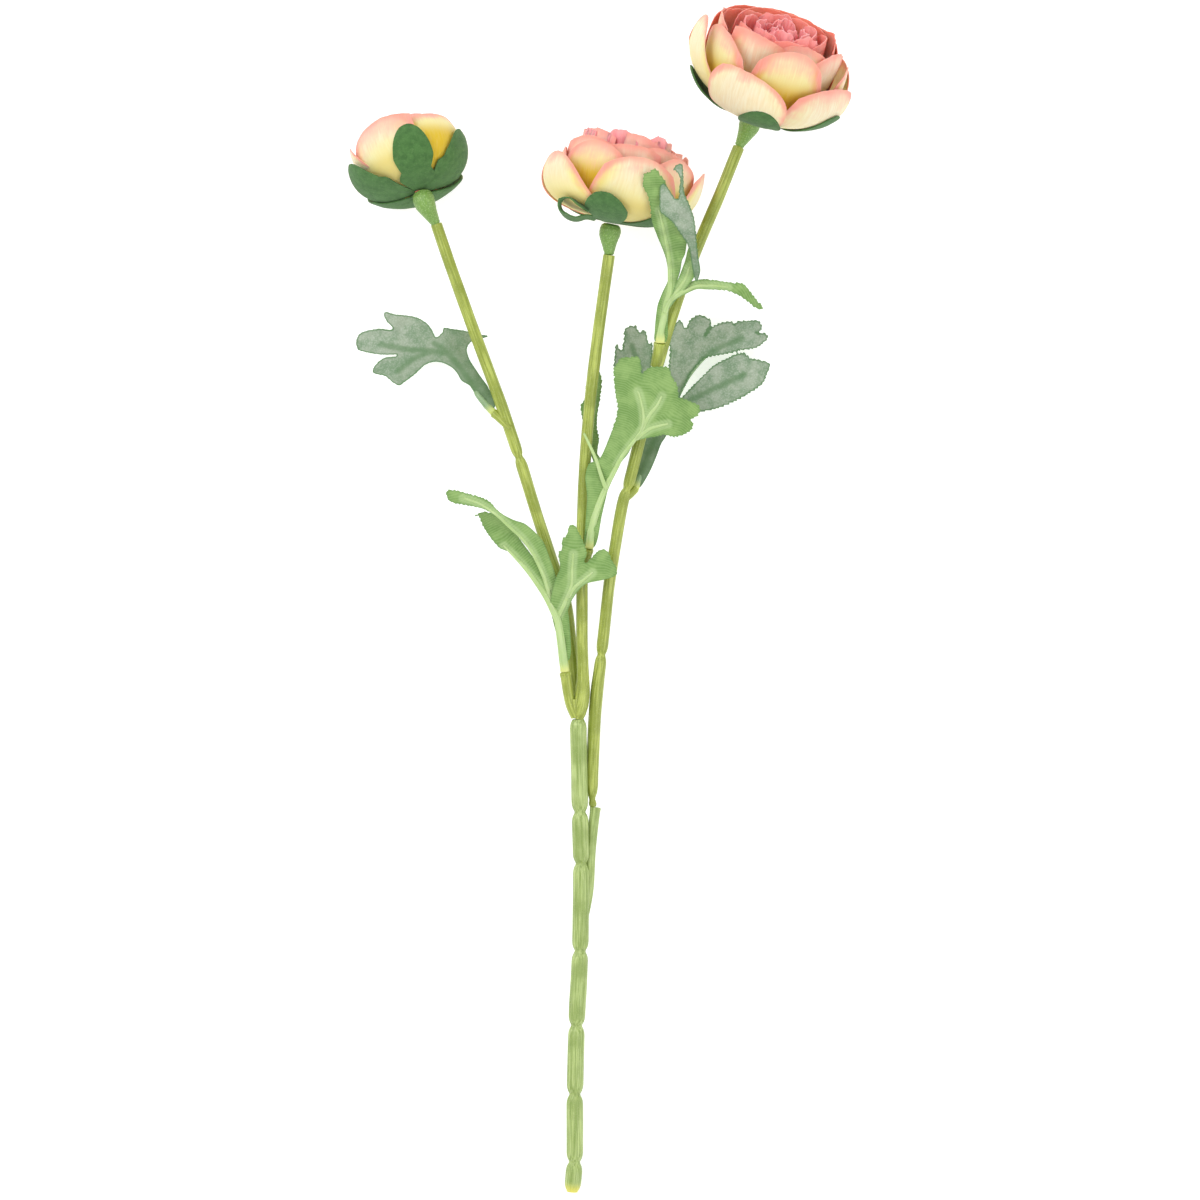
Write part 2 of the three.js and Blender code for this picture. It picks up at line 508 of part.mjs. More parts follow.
// A head's own frame: x to the right, y down towards the surface, z along its axis.
function headMatrix({ origin, turn, tilt, size = 1, stretch = size }) {
  const axis = new Vector3(
    Math.sin(radians(turn)) * Math.cos(radians(tilt)),
    Math.cos(radians(turn)) * Math.cos(radians(tilt)),
    Math.sin(radians(tilt)),
  );
  const right = new Vector3().crossVectors(axis, UP).setLength(size);
  const back = new Vector3().crossVectors(axis, right);
  return new THREE.Matrix4().makeBasis(right, back, axis.multiplyScalar(stretch)).setPosition(vector(origin));
}

function petalSheet(petal, thickness) {
  const [columns, rows] = petal.steps ?? PETAL_STEPS;
  return solidOf(thicken([sheetSurface(columns, rows, (u, v) => petalPoint(petal, u, v))], thickness)[0]);
}

function lathe(outline, sides) {
  const turned = new THREE.LatheGeometry(outline.map(([r, z]) => new Vector2(r, z)), sides);
  return turned.rotateX(Math.PI / 2);
}

// The cloth petals with the core that their roots sink into, pressed flat where they meet the surface.
function headPetals(head) {
  const sheets = head.petals.map((petal) => petalSheet(petal, PETAL_THICKNESS));
  const petals = joined([solidOf(lathe(CORE, 10)), ...sheets]).transform(headMatrix(head).elements);
  return petals.trimByPlane(UP.toArray(), 0);
}

// The felt star of sepals under the petals.
function headCalyx(head) {
  const disc = [[0, -1.6], [4, -1.6], [4, -0.4], [0, -0.4]];
  const sheets = head.sepals.map((sepal) => petalSheet(sepal, SEPAL_THICKNESS));
  return joined([solidOf(lathe(disc, 10)), ...sheets]).transform(headMatrix(head).elements);
}

// The knobbly cone between the stem's end and the calyx.
function headReceptacle(head) {
  const matrix = headMatrix(head);
  const along = (height) => new Vector3(0, 0, height).applyMatrix4(matrix);
  const foot = vector(head.stemEnd);
  foot.addScaledVector(along(-6).sub(foot).normalize(), GAP);
  const rings = [[0, 0.9], [0.1, 2.1], [0.4, 3.1], [0.75, 4.4], [0.95, 4.2], [1, 3.4]];
  const profile = (total) => rings.map(([share, radius]) => [share * total, radius]);
  return bar([foot.toArray(), along(-6).toArray(), along(-2.6).toArray()], profile, 10);
}

// ---------- the object ----------

const group = new THREE.Group();

function place(name, solid, color, roughness) {
  const { vertProperties, triVerts, numProp } = solid.getMesh();
  if (numProp !== 3) throw new Error(name + ' has more than its positions');
  const geometry = new THREE.BufferGeometry();
  geometry.setAttribute('position', new THREE.BufferAttribute(new Float32Array(vertProperties), 3));
  geometry.setIndex(new THREE.BufferAttribute(new Uint32Array(triVerts), 1));
  geometry.computeVertexNormals();
  const mesh = new THREE.Mesh(geometry, new THREE.MeshStandardMaterial({ color, roughness, metalness: 0 }));
  mesh.name = name;
  group.add(mesh);
}

for (const [name, parts] of Object.entries(STEMS)) place(name, stem(parts), parts.colour, 0.55);
for (const [name, leaf] of Object.entries(LEAVES)) {
  place(name, leafBlade(leaf), leaf.upperSide > 0 ? 0x87b266 : 0x9db39c, 0.85);
  place(name + '_stalk', leafStalk(leaf), 0xb9d38c, 0.55);
}
for (const [name, head] of Object.entries(HEADS)) {
  place(name + '_petals', headPetals(head), head.colour, 0.85);
  place(name + '_calyx', headCalyx(head), 0x4c7a4c, 0.95);
  place(name + '_receptacle', headReceptacle(head), 0x9cc468, 0.5);
}

export default group;
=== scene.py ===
"""Artificial ranunculus spray lying on its side: cloth blooms, felt calyces, cloth leaves and moulded stems.

Lengths are in millimetres until they reach a mesh. +Z is up from the surface that the spray lies on, and +Y
runs from its cut end to its blooms.
"""
import math

import bpy
from mathutils import Matrix, Vector, kdtree, noise


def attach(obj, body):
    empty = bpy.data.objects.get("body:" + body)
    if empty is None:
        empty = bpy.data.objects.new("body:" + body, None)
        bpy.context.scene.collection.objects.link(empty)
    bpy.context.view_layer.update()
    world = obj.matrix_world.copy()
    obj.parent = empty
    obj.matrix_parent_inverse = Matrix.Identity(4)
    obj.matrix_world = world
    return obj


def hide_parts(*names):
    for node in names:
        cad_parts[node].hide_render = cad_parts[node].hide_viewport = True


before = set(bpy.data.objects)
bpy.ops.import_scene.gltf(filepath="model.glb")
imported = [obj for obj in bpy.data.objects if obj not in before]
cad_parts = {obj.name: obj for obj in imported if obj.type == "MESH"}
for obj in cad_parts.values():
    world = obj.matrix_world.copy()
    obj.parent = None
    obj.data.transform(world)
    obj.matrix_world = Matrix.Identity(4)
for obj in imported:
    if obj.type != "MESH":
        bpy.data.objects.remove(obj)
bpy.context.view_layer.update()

MM = 0.001
UP = Vector((0, 0, 1))


# ---------- sizes ----------

STEM_RADIUS = 3.45
BRANCH_RADIUS = 2.4
RIDGE_HEIGHT = 0.11  # lengthwise ridges moulded into the stems
RIDGES_PER_RADIUS = 5.4  # round a stem, for each millimetre of its radius
SOCKET_RIDGES = 13
SEAT_GAP = 0.05  # between a receptacle and the stem's end
SURFACE_GAP = 0.02  # between a head and the surface that it lies on

LEAF_CLOTH = 0.4  # thickness
PETAL_CLOTH = 0.35
CALYX_FELT = 0.55
CURLED_SEPAL_HALF = 4.6  # half its breadth

TOOTH_PITCH = 1.8  # along a leaf's cut edge
GUTTER = 0.1  # how far a leaf's halves rise from its rib, as a share of their width
GUTTER_WIDTH = 6.0  # on each side of a rib

RIB_RADIUS = 1.0  # where a side rib starts
HIDDEN_RIB_RADIUS = 0.65  # the same under cloth that has its grey side up
RIB_TIP_RADIUS = 0.45
RIB_FLATNESS = 0.45  # height as a share of breadth
STALK_FLATNESS = 0.6

# how fine the meshes are
CURVE_STEPS = 24  # between two points of a path
RIB_CURVE_STEPS = 6
RING_STEP = 0.8  # between the rings of a bar
CONE_RING_STEP = 0.28
SOCKET_SIDES = 40
STALK_SIDES = 24
RIB_SIDES = 20
CONE_SIDES = 90
RIDGE_SIDES = 4  # for each ridge of a stem
SEED_SHIFT = 50  # from one bar's pattern to the next one's
EDGE_STEP = 0.25  # along a leaf's cut edge
RIB_STEP = 1.5  # between the points of a rib on its cloth
CELL = 0.45  # of a leaf's cloth
PETAL_CELLS = 20  # each way
WELD = 0.002  # vertices that are closer than this are one
EDGE_WELD = 0.02  # the same where cells are drawn onto a cut edge


# ---------- small helpers ----------


def lerp(a, b, share):
    return a + (b - a) * share


def smooth(low, high, value):
    """0 below low, 1 above high and an even curve between."""
    share = min(1, max(0, (value - low) / (high - low)))
    return share * share * (3 - 2 * share)


def wander(point, seed=0.0):
    """Even noise from about -1 to 1 that is the same on every run."""
    return noise.noise(Vector(point) + Vector((seed, 3.1 * seed, 7.7)))


def lookup(spots):
    """A tree that finds the nearest of some spots."""
    tree = kdtree.KDTree(len(spots))
    for number, spot in enumerate(spots):
        tree.insert(spot, number)
    tree.balance()
    return tree


def deselect():
    bpy.ops.object.select_all(action="DESELECT")


def choose(piece):
    """Makes a piece the only one selected."""
    deselect()
    piece.select_set(True)
    bpy.context.view_layer.objects.active = piece


def join(pieces, name):
    """Several pieces as one, under one name."""
    choose(pieces[0])
    for piece in pieces:
        piece.select_set(True)
    if len(pieces) > 1:
        bpy.ops.object.join()
    joined = bpy.context.object
    joined.name = name
    joined.data.name = name
    return joined


def apply(piece, kind, **settings):
    """Adds a modifier with its settings and applies it."""
    choose(piece)
    modifier = piece.modifiers.new(kind.title(), kind)
    for setting, value in settings.items():
        setattr(modifier, setting, value)
    bpy.ops.object.modifier_apply(modifier=modifier.name)


def edit(piece, operator, **settings):
    """Runs an edit mode operator on the whole mesh of a piece."""
    choose(piece)
    bpy.ops.object.mode_set(mode="EDIT")
    bpy.ops.mesh.select_all(action="SELECT")
    operator(**settings)
    bpy.ops.object.mode_set(mode="OBJECT")


def soften(piece, degrees=60):
    """Shades a piece smooth, apart from the edges that are sharper than an angle."""
    choose(piece)
    bpy.ops.object.shade_smooth_by_angle(angle=math.radians(degrees))


def shaped_grid(name, columns, rows, place, facts):
    """A grid primitive whose vertices are moved to place(across, along).

    across runs from -1 to 1 and along from 0 to 1. place gives the point in millimetres and then a vector for
    each attribute named in facts.
    """
    deselect()
    bpy.ops.mesh.primitive_grid_add(x_subdivisions=columns, y_subdivisions=rows, size=2)
    sheet = bpy.context.object
    sheet.name = name
    mesh = sheet.data
    kept = [mesh.attributes.new(fact, "FLOAT_VECTOR", "POINT") for fact in facts]
    for vertex in mesh.vertices:
        across, along = vertex.co.x, (vertex.co.y + 1) / 2
        point, *values = place(across, along)
        for attribute, value in zip(kept, values):
            attribute.data[vertex.index].vector = value
        vertex.co = Vector(point) * MM
    return sheet


# ---------- curves and round bars ----------


def hermite(start, end, leave, arrive, f):
    """A point on the curve between two points that has the given directions at them."""
    return (
        start * (2 * f**3 - 3 * f**2 + 1)
        + end * (3 * f**2 - 2 * f**3)
        + leave * (f**3 - 2 * f**2 + f)
        + arrive * (f**3 - f**2)
    )


class Path:
    """A smooth curve through points, measured by its length."""

    def __init__(self, points, steps=CURVE_STEPS):
        through = [Vector(p) for p in points]
        ends = [2 * through[0] - through[1], *through, 2 * through[-1] - through[-2]]
        self.points = []
        for a, b, c, d in zip(ends, ends[1:], ends[2:], ends[3:]):
            gaps = [max((q - p).length, 1e-6) ** 0.5 for p, q in ((a, b), (b, c), (c, d))]
            leave = ((b - a) / gaps[0] - (c - a) / (gaps[0] + gaps[1]) + (c - b) / gaps[1]) * gaps[1]
            arrive = ((c - b) / gaps[1] - (d - b) / (gaps[1] + gaps[2]) + (d - c) / gaps[2]) * gaps[1]
            self.points += [hermite(b, c, leave, arrive, i / steps) for i in range(steps)]
        self.points.append(through[-1])
        self.lengths = [0.0]
        for p, q in zip(self.points, self.points[1:]):
            self.lengths.append(self.lengths[-1] + (q - p).length)
        self.total = self.lengths[-1]

    def at(self, length):
        """The point at a length from the start."""
        low, high = 0, len(self.lengths) - 1
        length = min(max(length, 0), self.total)
        while high - low > 1:
            middle = (low + high) // 2
            if self.lengths[middle] <= length:
                low = middle
            else:
                high = middle
        span = self.lengths[high] - self.lengths[low]
        return self.points[low].lerp(self.points[high], (length - self.lengths[low]) / max(span, 1e-9))

    def directions(self, length, reach=0.4):
        """Along, across and above the curve at a length, read a short reach to either side."""
        along = (self.at(length + reach) - self.at(length - reach)).normalized()
        across = along.cross(UP).normalized()
        return along, across, across.cross(along)

    def length_at(self, y):
        """The length at which a curve that runs towards +Y passes a y, found by halving."""
        low, high = 0.0, self.total
        for _ in range(24):
            middle = (low + high) / 2
            if self.at(middle).y < y:
                low = middle
            else:
                high = middle
        return low


def radius_on(profile, length):
    """The radius at a length on a profile of (length, radius) pairs, even between them."""
    for (s0, r0), (s1, r1) in zip(profile, profile[1:]):
        if length <= s1:
            return lerp(r0, r1, (length - s0) / max(s1 - s0, 1e-9))
    return profile[-1][1]


def ring_marks(path, profile, step):
    """Where a bar's rings of vertices lie: a step apart, at its profile's marks and twice at its ends."""
    rows = max(6, round(path.total / step))
    marks = {round(path.total * i / rows, 4) for i in range(rows + 1)}
    marks |= {round(mark, 4) for mark, _ in profile}
    return [0.0, *[mark for mark in sorted(marks) if 0 <= mark <= path.total], path.total]


def bar(name, path, profile, sides, step=RING_STEP, relief=None, flat=1.0, seed=0.0):
    """A round bar along a path, closed at both ends. relief(angle, length, radius) adds to its radius.

    Its attribute straight holds where each point would be if the bar were straight and upright, and further
    up for each seed, so that bars of different seeds don't look alike.
    """
    marks = ring_marks(path, profile, step)

    def place(around, along):
        i = round(along * (len(marks) - 1))
        length = marks[i]
        angle = -math.pi * around
        radius = 0 if i in (0, len(marks) - 1) else radius_on(profile, length)
        if relief and radius:
            radius += relief(angle, length, radius)
        _, across, above = path.directions(length)
        sideways, upwards = radius * math.cos(angle), flat * radius * math.sin(angle)
        point = path.at(length) + across * sideways + above * upwards
        return point, (sideways, upwards, length + SEED_SHIFT * seed)

    made = shaped_grid(name, sides, len(marks) - 1, place, ["straight"])
    edit(made, bpy.ops.mesh.remove_doubles, threshold=WELD * MM)
    edit(made, bpy.ops.mesh.normals_make_consistent, inside=False)
    return made


# ---------- stems ----------

# path is a stem's middle line and radius that of its segments, with a neck between two of them at each y in
# pinches. trunk gives a stem's start radii of its own, as (length, radius). A socket is a short tube that
# carries another part, as its radius and its middle line.
STEMS = {
    "main_stem": {
        "path": [(-11.8, -250, 3.6), (-10.8, -237.3, 4.6), (-10.6, -208.5, 6.6), (-9.9, -179.4, 8.6),
                 (-8.4, -147.9, 10.8), (-8, -110.9, 13.4), (-8.4, -89.2, 14.9), (-9.2, -49.9, 17.6)],
        "radius": STEM_RADIUS, "neck_at_end": True,
        "pinches": [-237.3, -208.5, -179.4, -147.9, -110.9, -89.2],
        "sockets": [
            (2.2, [(-8, -138, 11.4), (-6.2, -130, 11), (-4.9, -122, 11), (-3.9, -105.3, 11.5),
                   (-2, -87.3, 12.2)]),
        ],
    },
    "middle_branch": {
        "path": [(-9.2, -49.9, 17.6), (-7.4, -37.8, 18.6), (-7.6, -16.8, 20), (-7.6, 0, 21.2),
                 (-7.5, 25.2, 23.2), (-6.5, 54.5, 26), (-4.1, 83.7, 28.6), (-0.6, 113, 31),
                 (3.8, 144.2, 33.6)],
        "radius": BRANCH_RADIUS,
        "trunk": [(0, 2.2), (0.5, 2.25), (2, 2.75), (6, 3.3), (11, 3.2), (17, 2.6), (22, 2.4)],
        "pinches": [],
        "sockets": [
            (2.25, [(-10.2, -49, 18), (-12.2, -44.2, 18.9), (-13.4, -38.8, 19.8), (-14.7, -30.4, 20.8)]),
            (2.0, [(-9.8, -48.4, 18), (-10.5, -45, 19), (-10.8, -41.4, 19.5)]),
            (2.1, [(-6.7, 14.3, 22.8), (-5.7, 18, 24.6), (-4.8, 21.4, 26.4)]),
            (2.5, [(-8.8, -47, 16.5), (-9.5, -45.6, 13.2), (-9.7, -42.7, 12.5)]),
        ],
    },
    "left_branch": {
        "path": [(-9.7, -42, 12.4), (-10.7, -33.7, 12.8), (-12.2, -18.9, 14.2), (-14.7, 0, 16.4),
                 (-20.3, 16.8, 18.4), (-25.8, 33.6, 20.6), (-34, 60, 24.2), (-42.1, 83.8, 26.4),
                 (-49.8, 104.6, 27.6), (-59, 129.6, 27.8), (-68.6, 157.4, 28)],
        "radius": BRANCH_RADIUS,
        "pinches": [60],
        "sockets": [(1.8, [(-37.6, 72.1, 26.4), (-40.9, 75.2, 26.2), (-44.6, 78.5, 25.3)])],
    },
    "right_branch": {
        "path": [(-2.9, -87.1, 12.2), (-3.3, -83.6, 12.4), (-3.2, -71.6, 13), (-1.7, -42.1, 15.4),
                 (0.6, -23.1, 17.2), (3.8, 6.3, 20.4), (6.1, 21, 22.2), (9.6, 41.1, 24.8), (12.6, 51.1, 26.2),
                 (16.8, 67.8, 28), (24.7, 100.5, 29.4), (32.4, 125.6, 29.4), (40.6, 147.4, 27.6),
                 (49.2, 167.7, 24.6), (58.2, 190.2, 20.1)],
        "radius": BRANCH_RADIUS,
        "trunk": [(0, 1.2), (1, 1.55), (2, 1.5), (3, 1.2), (3.8, 1.3), (6, 2.1), (9, 2.5), (20, 2.65),
                  (52, 2.65), (56, 2.5)],
        "pinches": [-23, 46.6],
        "sockets": [
            (1.7, [(10.6, 42.6, 25), (12.9, 44.6, 24.4), (14.9, 46.9, 23.2)]),
            (2.5, [(23.4, 97.9, 29.6), (24.3, 102.9, 31), (25.1, 107.5, 32.6)]),
        ],
    },
}


# from the neck between two segments on: how far along, and the radius as a share of the segment's
SHOULDER = [(0.0, 0.66), (0.3, 0.67), (0.8, 0.74), (1.6, 0.86), (2.8, 0.96), (4.2, 1.0)]


def segment_profile(path, radius, pinches, neck_at_end):
    """Segments with round shoulders and a pinched neck where two of them meet."""
    ends = [0.0, *[path.length_at(y) for y in pinches], path.total]
    profile = []
    for start, end in zip(ends, ends[1:]):
        profile += [(start + s, share * radius) for s, share in SHOULDER]
        if end < path.total or neck_at_end:
            profile += [(end - s, share * radius) for s, share in reversed(SHOULDER[1:])]
        else:
            profile += [(end - 0.4, radius), (end - 0.1, 0.95 * radius)]
    return profile


def stem_profile(path, parts):
    """A stem's own radii at its start, where it has any, and beyond them those of its segments."""
    segments = segment_profile(path, parts["radius"], parts["pinches"], "neck_at_end" in parts)
    trunk = parts.get("trunk", [])
    return trunk + [mark for mark in segments if not trunk or mark[0] > trunk[-1][0]]


def socket_profile(total, radius):
    """A nearly even tube with a thicker lip at its open end."""
    return [(0, 0.95 * radius), (total - 2.4, 0.97 * radius), (total - 0.5, 1.06 * radius),
            (total - 0.1, radius), (total, 0.9 * radius)]


def ridges(count, seed):
    """Fine uneven ridges along a stem that fade in and out."""

    def relief(angle, length, radius):
        wave = math.cos(count * angle + 1.2 * wander((0, 0, 0.05 * length), seed))
        fade = 0.6 + 0.4 * wander((math.cos(angle), math.sin(angle), 0.06 * length), seed)
        dent = 0.1 * wander((0.6 * math.cos(angle), 0.6 * math.sin(angle), 0.09 * length), seed + 4)
        return RIDGE_HEIGHT * wave * fade + dent

    return relief


def make_stem(name, parts, seed):
    """A moulded stem with its segments, its ridges and the sockets on it."""
    path = Path(parts["path"])
    count = round(RIDGES_PER_RADIUS * parts["radius"])
    profile = stem_profile(path, parts)
    pieces = [bar(name, path, profile, RIDGE_SIDES * count, relief=ridges(count, seed), seed=seed)]
    for number, (radius, points) in enumerate(parts["sockets"]):
        way = Path(points)
        profile = socket_profile(way.total, radius)
        relief = ridges(SOCKET_RIDGES, seed + number + 1)
        pieces.append(bar(name, way, profile, SOCKET_SIDES, relief=relief, seed=seed))
    return join(pieces, name)


# ---------- leaves ----------

